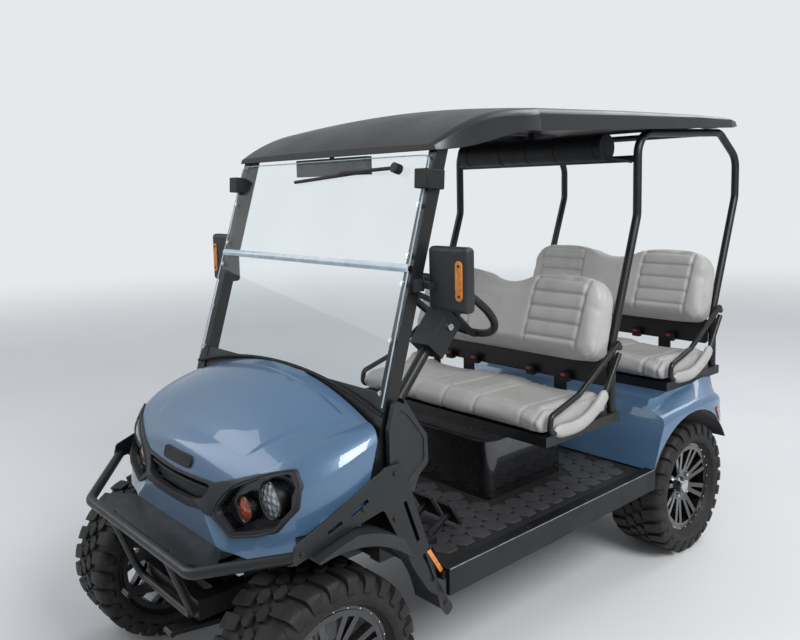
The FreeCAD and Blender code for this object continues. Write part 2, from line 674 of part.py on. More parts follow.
# Front cowl: loft through sections along the cart. Columns: station, crown height,
# shoulder half width, shoulder height, side half width, side height, foot half width
COWL_SECTIONS = [
    (CHIN_FRONT_Y, 722.0, 150.0, 694.0, 205.0, 652.0, 292.0),
    (-140.0, 803.0, 205.0, 757.0, 266.0, 692.0, 385.0),
    (-105.0, 846.0, 330.0, 802.0, 440.0, 744.0, 462.0),
    (-40.0, 884.0, 418.0, 850.0, 508.0, 790.0, 520.0),
    (60.0, 950.0, 455.0, 895.0, 546.0, 838.0, 552.0),
    (180.0, 1003.0, 492.0, 922.0, 555.0, 882.0, 558.0),
    (262.0, 1030.0, 500.0, 938.0, 555.0, 896.0, 558.0),
]


def cowl_wire(y, sizes, low, grow):
    """One section: flat foot, leaning sides, rounded shoulders and a crowned top."""
    crown, shoulder, shoulder_z, side, side_z, foot = sizes
    crown += grow
    shoulder = shoulder * SPREAD + grow * 0.6
    shoulder_z += grow * 0.8
    side = side * SPREAD + grow
    side_z += grow * 0.3
    foot = foot * SPREAD + grow
    bulge = 0.145
    middle = (shoulder + side) / 2.0 + (shoulder_z - side_z) * bulge
    middle_z = (shoulder_z + side_z) / 2.0 + (side - shoulder) * bulge
    edges = [
        Part.LineSegment(V(-foot, y, low), V(foot, y, low)).toShape(),
        Part.LineSegment(V(foot, y, low), V(side, y, side_z)).toShape(),
        Part.Arc(V(side, y, side_z), V(middle, y, middle_z), V(shoulder, y, shoulder_z)).toShape(),
        Part.Arc(V(shoulder, y, shoulder_z), V(0, y, crown), V(-shoulder, y, shoulder_z)).toShape(),
        Part.Arc(V(-shoulder, y, shoulder_z), V(-middle, y, middle_z), V(-side, y, side_z)).toShape(),
        Part.LineSegment(V(-side, y, side_z), V(-foot, y, low)).toShape(),
    ]
    return Part.Wire(edges)


def cowl_solid(grow, drop=0.0):
    """The cowl's block, grown or shrunk by one thickness all round."""
    wires = []
    for index, row in enumerate(COWL_SECTIONS):
        ahead = 1.0 if index == 0 else 0.6 if index < 3 else 0.0
        wires.append(cowl_wire(row[0] - grow * ahead, row[1:], COWL_FOOT_Z - grow - drop, grow))
    return Part.makeLoft(wires, True, False)


# Lamp pocket, bezel and grille outlines in front view, left half, (x, z)
LAMP_OUTLINE = [(228.0, 686.0), (290.0, 760.0), (380.0, 806.0), (470.0, 832.0), (497.0, 800.0),
                (496.0, 745.0), (462.0, 692.0), (300.0, 640.0)]
BEZEL_OUTLINE = [(0.0, 668.0), (100.0, 670.0), (182.0, 683.0), (228.0, 662.0), (300.0, 629.0),
                 (468.0, 679.0), (506.0, 742.0), (508.0, 803.0), (476.0, 843.0), (380.0, 818.0),
                 (285.0, 785.0), (214.0, 762.0), (0.0, 757.0)]
GRILLE_OUTLINE = [(0.0, 688.0), (110.0, 694.0), (171.0, 708.0), (204.0, 752.0), (0.0, 752.0)]
BADGE_OUTLINE = [(-86.0, 773.0), (86.0, 773.0), (91.0, 809.0), (-91.0, 809.0)]
LAMP_BACK = ((210.0, -112.0), (520.0, -22.0))
LAMP_WALL = 6.0
# Columns: lens centre x, centre height, radius, front
LENSES = [(415.0, 750.0, 51.0, -76.0), (325.0, 708.0, 37.0, -104.0)]


def mirrored_outline(points):
    """Full outline from a left half that starts and ends on the centre line."""
    return points + [(-x, z) for x, z in reversed(points[1:-1])]


def make_cowl():
    shell = cowl_solid(0.0).cut(cowl_solid(-PANEL, 60.0))
    shell = shell.cut(round_front(mirrored_outline(BEZEL_OUTLINE), -400.0, 20.0, 18.0))
    y, z = FLARE_CENTRE
    for sign in (1.0, -1.0):
        low, high = sorted((sign * 215.0, sign * 700.0))
        arch = rod((low, y, z), (high, y, z), FRONT_ARCH_RADIUS)
        shell = shell.cut(arch.common(box(low, high, -60.0, 500.0, 0.0, 900.0)))
        shell = shell.cut(box(low, high, -400.0, -60.0, 400.0, CHIN_BOTTOM_Z))
        shell = shell.cut(box(low, high, -60.0, 400.0, 400.0, 640.0))
        shell = shell.cut(box(low, high, 200.0, 400.0, 400.0, 690.0))
    return shell.cut(behind_screen(-8.5))


def behind_screen(depth):
    """Everything behind a plane parallel to the screen."""
    low = screen_point(-0.9, 0.0, depth)
    high = screen_point(0.4, 0.0, depth)
    return side_profile([(low.y, low.z), (high.y, high.z), (high.y + 500.0, high.z), (low.y + 500.0, low.z)],
                        -700.0, 700.0)


def make_bezel():
    """Charcoal band that frames the grille and joins the two lamp pockets."""
    skin = cowl_solid(4.0).cut(cowl_solid(-16.0, 60.0))
    band = skin.common(round_front(mirrored_outline(BEZEL_OUTLINE), -400.0, 20.0, 18.0))
    band = band.cut(round_front(mirrored_outline(GRILLE_OUTLINE), -400.0, 20.0, 10.0))
    lamp = round_front(LAMP_OUTLINE, -400.0, 20.0, 18.0)
    return band.cut([lamp, mirror(lamp)])


def ahead_of_lamp_back(step):
    """Everything ahead of the pocket's slanted floor, moved forward by a step."""
    (x0, y0), (x1, y1) = LAMP_BACK
    return plan_profile([(x0 * SPREAD, y0 - step), (x1 * SPREAD, y1 - step), (x1 * SPREAD, -400.0),
                         (x0 * SPREAD, -400.0)], 500.0, 900.0)


def make_headlamp():
    """Black pocket, open to the front, with a round clear lens and a round amber lens on its floor."""
    inset = cowl_solid(-16.3, 60.0)
    shell = round_front(LAMP_OUTLINE, -400.0, 20.0, 18.0, LAMP_WALL).common(ahead_of_lamp_back(0.0))
    hollow = round_front(LAMP_OUTLINE, -400.0, 20.0, 18.0).common(ahead_of_lamp_back(LAMP_WALL))
    pocket = shell.common(inset).cut(hollow)
    lenses = []
    for x, z, radius, front in LENSES:
        lens = rod((x * SPREAD, front, z), (x * SPREAD, 0.0, z), radius)
        lenses.append(lens.common(ahead_of_lamp_back(0.0)))
    return pocket.fuse(lenses)


def make_grille():
    """Dark slot with one rib across it, set back in the bezel."""
    slot = round_front(mirrored_outline(GRILLE_OUTLINE), -400.0, 20.0, 10.0)
    back = cowl_solid(-22.0, 60.0).cut(cowl_solid(-30.0, 60.0)).common(slot)
    rib = front_profile([(-220.0, 733.0), (220.0, 733.0), (220.0, 739.0), (-220.0, 739.0)], -400.0, 20.0)
    rib = cowl_solid(-4.0, 60.0).cut(cowl_solid(-30.0, 60.0)).common(rib).common(slot)
    return back.fuse(rib)


def make_badge():
    plate = round_front(BADGE_OUTLINE, -215.0, -100.0, 14.0)
    return plate.common(cowl_solid(6.0)).cut(cowl_solid(0.5))


# Front bumper: bent bar, hoop below it and the flat plate behind the bar
def make_bumper():
    end = (GUARD_X - 0.3, -100.0, 648.0)
    bar = tube([end, (BUMPER_BEND_X, BUMPER_FRONT_Y, BUMPER_Z), (-BUMPER_BEND_X, BUMPER_FRONT_Y, BUMPER_Z),
                (-end[0], end[1], end[2])], BUMPER_TUBE_RADIUS, 60.0)
    bar = bar.common(box(-GUARD_X + 0.3, GUARD_X - 0.3, -400.0, 0.0, 500.0, 700.0))
    return join(bar, tube(HOOP_PATH, HOOP_RADIUS, 50.0))


HOOP_PATH = [(188.0, -288.0, BUMPER_Z - 4.0), (188.0, -206.0, 366.0), (-188.0, -206.0, 366.0),
             (-188.0, -288.0, BUMPER_Z - 4.0)]


def make_skid_plate():
    front = BUMPER_FRONT_Y + BUMPER_TUBE_RADIUS + 0.3
    rear = CHIN_FRONT_Y - 0.3
    plate = plan_profile([(-290.0, front), (290.0, front), (346.0, -236.0), (346.0, -212.0), (290.0, rear),
                         (-290.0, rear), (-346.0, -212.0), (-346.0, -236.0)], BUMPER_Z - 3.0, BUMPER_Z + 3.0)
    raised = [(x, y, z + 12.0 if z > 500.0 else z) for x, y, z in HOOP_PATH]
    return plate.cut(tube(raised, HOOP_RADIUS + 0.4, 50.0))


# Side guard: steel plate with a front arm and a rear leg, outside the cowl
GUARD_OUTLINE = [(-126.0, 628.0), (-112.0, 684.0), (98.0, 764.0), (200.0, 812.0), (262.0, 812.0),
                 (300.0, 700.0), (350.0, 560.0), (399.0, 401.0), (463.0, 296.0), (437.0, 272.0),
                 (302.0, 473.0), (190.0, 690.0), (95.0, 674.0)]


# Slots in the guard's plate, corner points (y, z)
GUARD_SLOTS = [
    [(-8.0, 690.0), (40.0, 706.0), (44.0, 694.0), (-4.0, 678.0)],
    [(68.0, 716.0), (132.0, 741.0), (137.0, 728.0), (73.0, 703.0)],
    [(264.0, 690.0), (276.0, 694.0), (327.0, 558.0), (315.0, 553.0)],
    [(335.0, 506.0), (347.0, 511.0), (384.0, 413.0), (372.0, 408.0)],
]


def make_guard():
    plate = round_side(GUARD_OUTLINE, GUARD_X, GUARD_X + GUARD_PLATE, 14.0)
    slots = [round_side(slot, GUARD_X - 1.0, GUARD_X + GUARD_PLATE + 1.0, 5.0) for slot in GUARD_SLOTS]
    return plate.cut(slots)


def make_flare():
    """Moulded arch strip over the front wheel."""
    y, z = FLARE_CENTRE
    outer = rod((500.0, y, z), (612.0, y, z), FLARE_OUTER_RADIUS)
    ring = outer.cut(rod((490.0, y, z), (620.0, y, z), FLARE_INNER_RADIUS))
    ring = ring.common(box(400.0, 700.0, -60.0, 600.0, 340.0, 800.0))
    behind = side_profile([(-130.0, 620.0), (95.0, 672.0), (190.0, 688.0), (301.0, 472.0), (437.0, 270.0),
                           (800.0, 270.0), (800.0, 900.0), (-130.0, 900.0)], GUARD_X - 0.4, 700.0)
    return ring.cut(behind)


# Dash with its two end pods
DASH_OUTLINE = [(248.0, 1004.0), (300.0, 984.0), (368.0, 880.0), (372.0, 790.0), (330.0, 700.0),
                (160.0, 700.0)]
POD_OUTLINE = [(248.0, 999.0), (293.0, 966.0), (370.0, 868.0), (373.0, 781.0), (270.0, 706.0),
               (222.0, 730.0), (222.0, 910.0)]
POD_CENTRE = (296.0, 850.0)
POD_FACE_SHARE = 0.8


def make_dash():
    inner = POST_X - POST_WIDTH / 2.0 - 0.5
    body = side_profile(DASH_OUTLINE, -inner, inner)
    ends = side_profile(DASH_OUTLINE, -TOE_HALF_WIDTH, TOE_HALF_WIDTH)
    ends = ends.common(box(-700, 700, 296.0, 500, 600, 1100))
    body = join(body, ends).cut(column_clearance())
    for x0, x1 in ((-470.0, -120.0), (-90.0, 90.0)):
        body = body.cut(box(x0, x1, 316.0, 420.0, 780.0, 860.0))
    return body


def make_pod():
    """End cap of the dash with a raised rim round its sunk face."""
    y, z = POD_CENTRE
    pod = round_side(POD_OUTLINE, TOE_HALF_WIDTH + 0.3, GUARD_X - 0.3, 24.0)
    face = [(y + (py - y) * POD_FACE_SHARE, z + (pz - z) * POD_FACE_SHARE) for py, pz in POD_OUTLINE]
    return pod.cut(round_side(face, GUARD_X - 4.0, GUARD_X + 1.0, 20.0))


# Steering wheel, built flat around Z and tilted onto the column
def tilt_to_column(shape):
    turned = shape.copy()
    turned.rotate(V(0, 0, 0), V(1, 0, 0), STEER_ANGLE - 90.0)
    turned.translate(V(*STEER_CENTRE))
    return turned


def make_steering_wheel():
    ring = Part.makeTorus(STEER_RING_RADIUS, STEER_GRIP_RADIUS)
    hub = Part.makeCylinder(46.0, 34.0, V(0, 0, -30.0))
    pieces = [ring, hub]
    for angle in (90.0, 215.0, 325.0):
        spoke = box(20.0, STEER_RING_RADIUS, -14.0, 14.0, -18.0, -6.0)
        spoke.rotate(V(0, 0, 0), V(0, 0, 1), angle)
        pieces.append(spoke)
    return tilt_to_column(join(*pieces))


def column_foot():
    tilt = math.radians(STEER_ANGLE)
    x, y, z = STEER_CENTRE
    return (x, y - COLUMN_LENGTH * math.cos(tilt), z - COLUMN_LENGTH * math.sin(tilt))


def make_column():
    """Column tube, its shroud below the wheel and the lower shaft down to the rack."""
    return join(
        tilt_to_column(Part.makeCylinder(20.0, COLUMN_LENGTH - 20.4, V(0, 0, -COLUMN_LENGTH - 10.0))),
        tilt_to_column(box(-48.0, 48.0, -44.0, 44.0, -190.0, -40.0)),
        rod((215.0, STEER_ARM_Y, RACK_Z + 24.0), column_foot(), 10.0),
    )


def column_clearance():
    """Holes that the steering column and its lower shaft pass through."""
    shaft = rod((215.0, STEER_ARM_Y, RACK_Z + 19.4), column_foot(), 16.0)
    hole = Part.makeCylinder(28.0, COLUMN_LENGTH + 110.0, V(0, 0, -COLUMN_LENGTH - 90.0))
    return shaft.fuse(tilt_to_column(hole))


def make_pedals():
    """Brake and accelerator pedals with their bracket on the toe board."""
    pieces = []
    low = FLOOR_TOP_Z + MAT_THICKNESS
    pad = [(650.0, 466.0), (600.0, 546.0), (590.0, 540.0), (640.0, 460.0)]
    arm = [(500.0, low + 8.0), (512.0, low + 2.0), (622.0, 496.0), (612.0, 510.0)]
    for x, wide in ((300.0, 44.0), (410.0, 32.0)):
        pieces.append(side_profile(pad, x - wide, x + wide))
        pieces.append(side_profile(arm, x - 8.0, x + 8.0))
    pieces.append(box(262.0, 440.0, 480.0, 530.0, low, low + 22.0))
    return join(*pieces)


# Seats: tray, restraint hoops, cushion and back, made once and stepped back for the second row
def row_shift(shape, row):
    moved = shape.copy()
    moved.translate(V(0, SEAT_PITCH * row, SEAT_STEP * row))
    return moved


# Hip restraint beside each seat, (y, z): from the post forward, down and back to the post
HOOP_SIDE = [(1458.0, 972.0), (1190.0, 815.0), (1025.0, 768.0), (1014.0, 708.0), (1190.0, 694.0),
             (1352.0, 768.0), (1462.0, 930.0)]


def make_seat_tray():
    tray = box(-SEAT_HALF_WIDTH, SEAT_HALF_WIDTH, SEAT_FRONT_Y + 40.0, SEAT_FRONT_Y + SEAT_DEPTH + 60.0,
               SEAT_BOTTOM_Z - SEAT_TRAY_HEIGHT, SEAT_BOTTOM_Z)
    x = SEAT_HALF_WIDTH + 14.0
    hoop = tube([(x, y, z) for y, z in HOOP_SIDE], 11.0, 24.0)
    post_y = MID_POST_FOOT_Y
    reach = REAR_POST_X - TUBE_RADIUS - 0.4
    bar = rod((-reach, post_y, 852.0), (reach, post_y, 852.0), 12.0)
    tilt = math.radians(BACK_LEAN)
    foot_y = BACK_BOTTOM[0] + BACK_THICKNESS * math.cos(tilt) + 0.3
    foot_z = BACK_BOTTOM[1] - BACK_THICKNESS * math.sin(tilt)
    knee_z = foot_z + 80.0
    head_z = foot_z + 250.0
    knee_y = foot_y + (knee_z - foot_z) * math.tan(tilt)
    head_y = foot_y + (head_z - foot_z) * math.tan(tilt)
    low = SEAT_BOTTOM_Z - 4.0
    stay = side_profile([(knee_y, low), (knee_y + 10.0, low), (knee_y + 10.0, knee_z),
                         (head_y + 10.0, head_z), (head_y, head_z), (knee_y, knee_z)], 230.0, 290.0)
    bridge = box(230.0, 290.0, knee_y + 4.0, post_y, 846.0, 858.0)
    lug = rod((REAR_POST_X + TUBE_RADIUS + 0.4, 1458.0, 955.0), (x + 9.0, 1458.0, 955.0), 12.0)
    foot = box(SEAT_HALF_WIDTH - 20.0, x + 4.0, 1120.0, 1150.0, SEAT_BOTTOM_Z - 14.0, SEAT_BOTTOM_Z)
    return join(tray, bar, *both(hoop), *both(lug), *both(foot), *both(stay), *both(bridge))


def make_cushion():
    y0 = SEAT_FRONT_Y
    y1 = SEAT_FRONT_Y + SEAT_DEPTH
    z0 = SEAT_BOTTOM_Z + RUN_GAP
    z1 = SEAT_BOTTOM_Z + CUSHION_HEIGHT
    block = side_profile([(y0 + 30.0, z0), (y1, z0), (y1, z1 - 14.0), (y0 + 140.0, z1 - 6.0), (y0 + 50.0, z1),
                          (y0, z1 - 40.0), (y0, z0 + 34.0)], -SEAT_HALF_WIDTH, SEAT_HALF_WIDTH)
    sides = [edge for edge in block.Edges if abs(edge.CenterOfMass.x) > SEAT_HALF_WIDTH - 1.0
             and edge.CenterOfMass.z > z0 + 1.0]
    return block.makeFillet(22.0, sides)


def make_back():
    """Bench back with two humps, leaning rearward."""
    half = SEAT_HALF_WIDTH
    top = BACK_HEIGHT
    hump = 268.0
    # Left half of the outline, (x, z): foot corner, side, shoulder, hump and half of the dip
    foot = [(half - 60.0, 0.0), (half - 14.0, 20.0), (half, 70.0)]
    shoulder = [(half - 8.0, top - 110.0), (half - 50.0, top - 28.0), (half - 140.0, top - 3.0)]
    crest = [(half - 140.0, top - 3.0), (hump, top), (hump - 130.0, top - 14.0)]
    dip = [(hump - 130.0, top - 14.0), (0.0, top - 52.0), (130.0 - hump, top - 14.0)]
    left = [foot, [foot[2], shoulder[0]], shoulder, crest]
    runs = left + [dip] + [[(-x, z) for x, z in reversed(run)] for run in reversed(left)]
    runs.append([(60.0 - half, 0.0), (half - 60.0, 0.0)])
    edges = []
    for run in runs:
        spots = [V(x, 0, z) for x, z in run]
        edges.append((Part.Arc(*spots) if len(spots) == 3 else Part.LineSegment(*spots)).toShape())
    back = Part.Face(Part.Wire(edges)).extrude(V(0, BACK_THICKNESS, 0))
    back.rotate(V(0, 0, 0), V(1, 0, 0), -BACK_LEAN)
    back.translate(V(0, BACK_BOTTOM[0], BACK_BOTTOM[1]))
    return back


def make_seat_base():
    """Glossy box below the front seat, hollow, with rounded front corners."""
    top = SEAT_BOTTOM_Z - SEAT_TRAY_HEIGHT
    outer = box(-BASE_HALF_WIDTH, BASE_HALF_WIDTH, BASE_FRONT_Y, BASE_REAR_Y, FLOOR_TOP_Z, top)
    uprights = [edge for edge in outer.Edges if abs(edge.tangentAt(edge.FirstParameter).z) > 0.9
                and edge.CenterOfMass.y < BASE_FRONT_Y + 1.0]
    outer = outer.makeFillet(50.0, uprights)
    hollow = box(-BASE_HALF_WIDTH + BASE_WALL, BASE_HALF_WIDTH - BASE_WALL, BASE_FRONT_Y + 50.0,
                 BASE_REAR_Y - BASE_WALL, FLOOR_TOP_Z + BASE_WALL, top - BASE_WALL)
    return outer.cut(hollow)


def make_battery():
    return box(-280.0, 280.0, BASE_FRONT_Y + 70.0, BASE_REAR_Y - 40.0, FLOOR_TOP_Z + BASE_WALL + 0.3, 610.0)


# Rear body: loft through sections along the cart, hollow below. Columns: station behind the rear axle,
# half width beyond the body, outer height, inner width beyond the seat, inner height, deck height
REAR_SECTIONS = [
    (-350.0, 22.0, 640.0, 4.0, 657.0, 696.5),
    (-210.0, 23.0, 641.0, 4.0, 660.0, 696.5),
    (-70.0, 28.0, 655.0, 4.0, 672.0, 696.5),
    (70.0, 29.0, 661.0, 4.0, 687.0, 696.5),
    (190.0, 26.0, 658.0, 4.0, 702.0, 696.5),
    (270.0, 8.0, 642.0, 4.0, 706.0, 696.5),
    (330.0, -24.0, 620.0, 4.0, 690.0, 695.0),
    (370.0, -72.0, 596.0, -76.0, 660.0, 690.0),
]


def rear_wire(y, half, outer_z, inner, inner_z, deck, low):
    """One section: flat foot, upright sides, rounded fender edges and the deck below the seat."""
    edge = half - 26.0
    lip_z = outer_z - 36.0
    bend = (half - 7.0, outer_z - 12.0)
    step = inner - 3.0
    edges = [Part.LineSegment(V(-half, y, low), V(half, y, low)).toShape()]
    left = [(half, low), (half, lip_z), (edge, outer_z), (inner, inner_z), (step, deck)]
    for sign in (1.0, -1.0):
        spots = [V(sign * x, y, z) for x, z in left]
        run = [
            Part.LineSegment(spots[0], spots[1]).toShape(),
            Part.Arc(spots[1], V(sign * bend[0], y, bend[1]), spots[2]).toShape(),
            Part.LineSegment(spots[2], spots[3]).toShape(),
            Part.LineSegment(spots[3], spots[4]).toShape(),
        ]
        if sign > 0:
            edges += run + [Part.LineSegment(spots[4], V(-step, y, deck)).toShape()]
        else:
            edges += list(reversed(run))
    return Part.Wire(edges)


def rear_block(grow, drop=0.0):
    """The rear body's block, grown or shrunk by one thickness all round, behind its leaning front face."""
    wires = []
    last = len(REAR_SECTIONS) - 1
    for index, (behind, beyond, outer_z, inner, inner_z, deck) in enumerate(REAR_SECTIONS):
        y = WHEELBASE + behind + (grow if index == last else 0.0)
        half = BODY_HALF_WIDTH + beyond + grow
        inner += SEAT_HALF_WIDTH + grow
        low = REAR_BODY_LOW - drop
        wires.append(rear_wire(y, half, outer_z + grow, inner, inner_z + grow, deck + grow, low))
    slope = math.tan(math.radians(REAR_FACE_LEAN))
    foot = REAR_BODY_FRONT_Y - grow
    front = side_profile([
        (foot - 30.0 * slope, REAR_BODY_LOW - 30.0), (foot + 300.0 * slope, REAR_BODY_LOW + 300.0),
        (foot - 300.0, REAR_BODY_LOW + 300.0), (foot - 300.0, REAR_BODY_LOW - 30.0),
    ], -800.0, 800.0)
    return Part.makeLoft(wires, True, False).cut(front)


def make_rear_body():
    """Painted tub with two slim fenders, hollow below."""
    shell = rear_block(0.0).cut(rear_block(-PANEL, 20.0))
    arch = rod((339.0, WHEELBASE, REAR_ARCH_Z), (800.0, WHEELBASE, REAR_ARCH_Z), REAR_ARCH_RADIUS)
    rocker_top = FLOOR_TOP_Z + MAT_THICKNESS + ROCKER_LIP + RUN_GAP
    notch = box(FLOOR_HALF_WIDTH - 27.0, 800.0, REAR_BODY_FRONT_Y - 100.0, ROCKER_REAR_Y + RUN_GAP,
                380.0, rocker_top)
    tail = box(-800.0, 800.0, WHEELBASE, WHEELBASE + 500.0, 380.0, REAR_TAIL_LOW)
    return shell.cut(both(arch) + both(notch) + [tail])


def make_liner():
    """Black wheel housing inside the rear fender."""
    edge = BODY_HALF_WIDTH + 20.0
    y, z = WHEELBASE, REAR_ARCH_Z
    outer = rod((340.0, y, z), (edge, y, z), REAR_ARCH_RADIUS - 0.5)
    inner = rod((345.0, y, z), (edge + 40.0, y, z), REAR_ARCH_RADIUS - 7.0)
    housing = outer.cut(inner)
    return housing.common(box(300.0, 800.0, WHEELBASE - 500.0, WHEELBASE + 500.0, 440.0, 800.0))


def make_front_liner():
    y, z = FLARE_CENTRE
    radius = FLARE_INNER_RADIUS + 22.0
    outer = rod((198.0, y, z), (499.7, y, z), radius + 5.0)
    inner = rod((203.0, y, z), (540.0, y, z), radius)
    return outer.cut(inner).common(box(190.0, 560.0, -50.0, 500.0, 440.0, 696.0)).cut(column_clearance())


# Tail lamp in side view: distance behind the rear axle, height
TAIL_LAMP_OUTLINE = [(187.0, 598.0), (224.0, 594.0), (296.0, 520.0), (284.0, 510.0), (236.0, 536.0)]


def make_tail_lamp():
    """Slanted lens that wraps the fender's rear corner."""
    outline = [(WHEELBASE + behind, z) for behind, z in TAIL_LAMP_OUTLINE]
    skin = rear_block(5.0).cut(rear_block(0.3))
    return skin.common(round_side(outline, BODY_HALF_WIDTH - 44.0, BODY_HALF_WIDTH + 56.0, 8.0))


def make_rear_bumper():
    """Beam on two arms, with the tow tab in the middle."""
    y = FRAME_REAR_Y + 40.0
    beam = box(-430.0, 430.0, y, y + 42.0, 372.0, 442.0)
    arm = box(REAR_RAIL_X - 20.0, REAR_RAIL_X + 20.0, FRAME_REAR_Y + 0.3, y + 2.0, 376.0, 402.0)
    tab = box(-40.0, 40.0, y + 30.0, HITCH_Y + 32.0, 372.0, 372.0 + HITCH_PLATE)
    hole = rod((0.0, HITCH_Y, 300.0), (0.0, HITCH_Y, 420.0), HITCH_HOLE_RADIUS)
    return join(beam, tab, *both(arm)).cut(hole)


def make_mirror():
    """Side mirror shell on a short arm from the front post."""
    inner = POST_X + POST_WIDTH / 2.0 + 0.3
    shell = box(inner + 19.0, inner + 175.0, 392.0, 432.0, 1236.0, 1424.0)
    shell = shell.makeFillet(14.0, shell.Edges)
    foot = box(inner, inner + 14.0, 344.0, 384.0, 1292.0, 1328.0)
    arm = box(inner + 4.0, inner + 49.0, 374.0, 400.0, 1300.0, 1320.0)
    return join(shell, foot, arm)


def make_cab_mirror():
    body = box(-200.0, 200.0, 470.0, 494.0, 1640.0, 1700.0)
    stem = rod((0, 482.0, 1690.0), (0, 482.0, 1741.2), 8.0)
    return body.fuse(stem)


def make_wiper():
    """Hand wiper at the top of the screen."""
    share = 0.945
    pivot = screen_point(share, 400.0, -0.3)
    motor = rod(tuple(pivot), tuple(pivot - screen_back() * 26.0), 16.0)
    arm = rod(tuple(screen_point(share, 400.0, -20.0)), tuple(screen_point(share - 0.01, 120.0, -14.0)), 6.0)
    low = tuple(screen_point(share - 0.04, -140.0, -7.0))
    blade = rod(tuple(screen_point(share - 0.005, 250.0, -9.0)), low, 6.0)
    return join(motor, arm, blade)


def write_nodes():
    save("frame", make_frame())
    save("front_axle", make_front_axle())
    knuckle = make_knuckle()
    save("knuckle_left", knuckle)
    save("knuckle_right", mirror(knuckle))
    save("rack_bar", make_rack_bar())
    save("rear_axle", make_rear_axle())
    for name, side, y in (("front_left", 1, 0.0), ("front_right", -1, 0.0),
                          ("rear_left", 1, WHEELBASE), ("rear_right", -1, WHEELBASE)):
        for part, make in (("rim", make_rim), ("tyre", make_tyre)):
            solid = make(side)
            solid.translate(V(0, y, 0))
            save(part + "_" + name, solid)
    save("floor_pan", make_floor())
    save("floor_mat", make_mat())
    save("rockers", *both(make_rocker()))
    save("front_cowl", make_cowl())
    save("grille_bezel", make_bezel())
    save("grille", make_grille())
    save("nose_badge", make_badge())
    save("headlamps", *both(make_headlamp()))
    save("front_bumper", make_bumper())
    save("skid_plate", make_skid_plate())
    save("side_guards", *both(make_guard()))
    save("front_flares", *both(make_flare()))
    save("dash", make_dash())
    save("dash_pods", *both(make_pod()))
    save("windshield_lower", make_lower_screen())
    save("windshield_upper", make_upper_screen())
    save("windshield_seal", make_screen_seal())
    save("front_posts", *both(make_front_post()))
    save("rear_roof_frame", make_rear_frame())
    save("roof", make_roof())
    save("sound_bar", make_sound_bar())
    save("side_mirrors", *both(make_mirror()))
    save("cab_mirror", make_cab_mirror())
    save("wiper", make_wiper())
    save("steering_column", make_column())
    save("steering_wheel", make_steering_wheel())
    save("pedals", make_pedals())
    save("front_seat_base", make_seat_base())
    save("battery_block", make_battery())
    tray = make_seat_tray()
    cushion = make_cushion()
    back = make_back()
    for row, name in ((0, "front"), (1, "rear")):
        save(name + "_seat_frame", row_shift(tray, row))
        save(name + "_seat_cushion", row_shift(cushion, row))
        save(name + "_seat_back", row_shift(back, row))
    save("rear_body", make_rear_body())
    save("wheel_liners", *both(make_liner()), *both(make_front_liner()))
    save("tail_lamps", *both(make_tail_lamp()))
    save("rear_bumper", make_rear_bumper())


write_nodes()
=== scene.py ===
import bpy
import bmesh
import json
import math
from mathutils import Matrix, Vector
from mathutils.bvhtree import BVHTree


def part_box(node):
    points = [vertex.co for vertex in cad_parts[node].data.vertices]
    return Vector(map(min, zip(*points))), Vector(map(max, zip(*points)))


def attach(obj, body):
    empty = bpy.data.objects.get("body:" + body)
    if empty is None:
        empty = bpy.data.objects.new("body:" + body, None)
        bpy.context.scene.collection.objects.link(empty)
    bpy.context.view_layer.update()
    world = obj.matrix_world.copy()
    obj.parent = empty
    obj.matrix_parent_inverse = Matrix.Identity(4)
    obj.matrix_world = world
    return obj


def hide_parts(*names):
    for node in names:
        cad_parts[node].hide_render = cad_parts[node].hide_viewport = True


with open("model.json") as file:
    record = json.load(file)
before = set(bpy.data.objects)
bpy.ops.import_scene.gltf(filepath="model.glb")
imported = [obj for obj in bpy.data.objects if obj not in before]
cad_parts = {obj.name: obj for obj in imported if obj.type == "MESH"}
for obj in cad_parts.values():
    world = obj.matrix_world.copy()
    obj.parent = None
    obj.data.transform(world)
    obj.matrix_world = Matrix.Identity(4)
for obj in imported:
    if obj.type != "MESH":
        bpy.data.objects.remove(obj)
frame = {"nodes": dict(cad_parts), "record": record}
scene = bpy.context.scene
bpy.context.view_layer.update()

# Chassis, axles, posts, guards and seat frames
# Welded steel tube and plate, blasted and powder coated satin black. The coat has a fine orange peel,
# rounds every edge, and has dulled with road dust towards the ground.
ROAD_DUST = "77716a"
SPECKS_PER_METRE = 60.0
PEEL_PER_METRE = 700.0
COATED_EDGE = 0.0022


def lin(code):
    """Linear colour from an sRGB hex code."""
    channels = [int(code[i:i + 2], 16) / 255.0 for i in (0, 2, 4)]
    return (*[c / 12.92 if c <= 0.04045 else ((c + 0.055) / 1.055) ** 2.4 for c in channels], 1.0)


def add(tree, kind, values=None, links=None, **settings):
    """One node with its settings, its input values and the links into it."""
    node = tree.nodes.new(kind)
    for name, value in settings.items():
        setattr(node, name, value)
    for name, value in (values or {}).items():
        node.inputs[name].default_value = value
    for name, source in (links or {}).items():
        tree.links.new(source, node.inputs[name])
    return node


def start_material(name, values=None):
    """A material with its shader set, its tree and the object's coordinates in metres."""
    material = bpy.data.materials.new(name)
    material.use_nodes = True
    tree = material.node_tree
    shader = tree.nodes["Principled BSDF"]
    for socket, value in (values or {}).items():
        shader.inputs[socket].default_value = value
    return material, tree, shader, add(tree, "ShaderNodeTexCoord").outputs["Object"]


def tint(tree, shader, place, first, second, size):
    """Base colour that wanders between two colours over patches of a size in metres."""
    patches = add(tree, "ShaderNodeTexNoise", {"Scale": 1.0 / size, "Detail": 4.0}, {"Vector": place})
    blend = add(tree, "ShaderNodeValToRGB", None, {"Fac": patches.outputs["Fac"]})
    low, high = blend.color_ramp.elements
    low.position = 0.35
    low.color = lin(first)
    high.position = 0.65
    high.color = lin(second)
    tree.links.new(blend.outputs["Color"], shader.inputs["Base Color"])
    return blend.outputs["Color"]


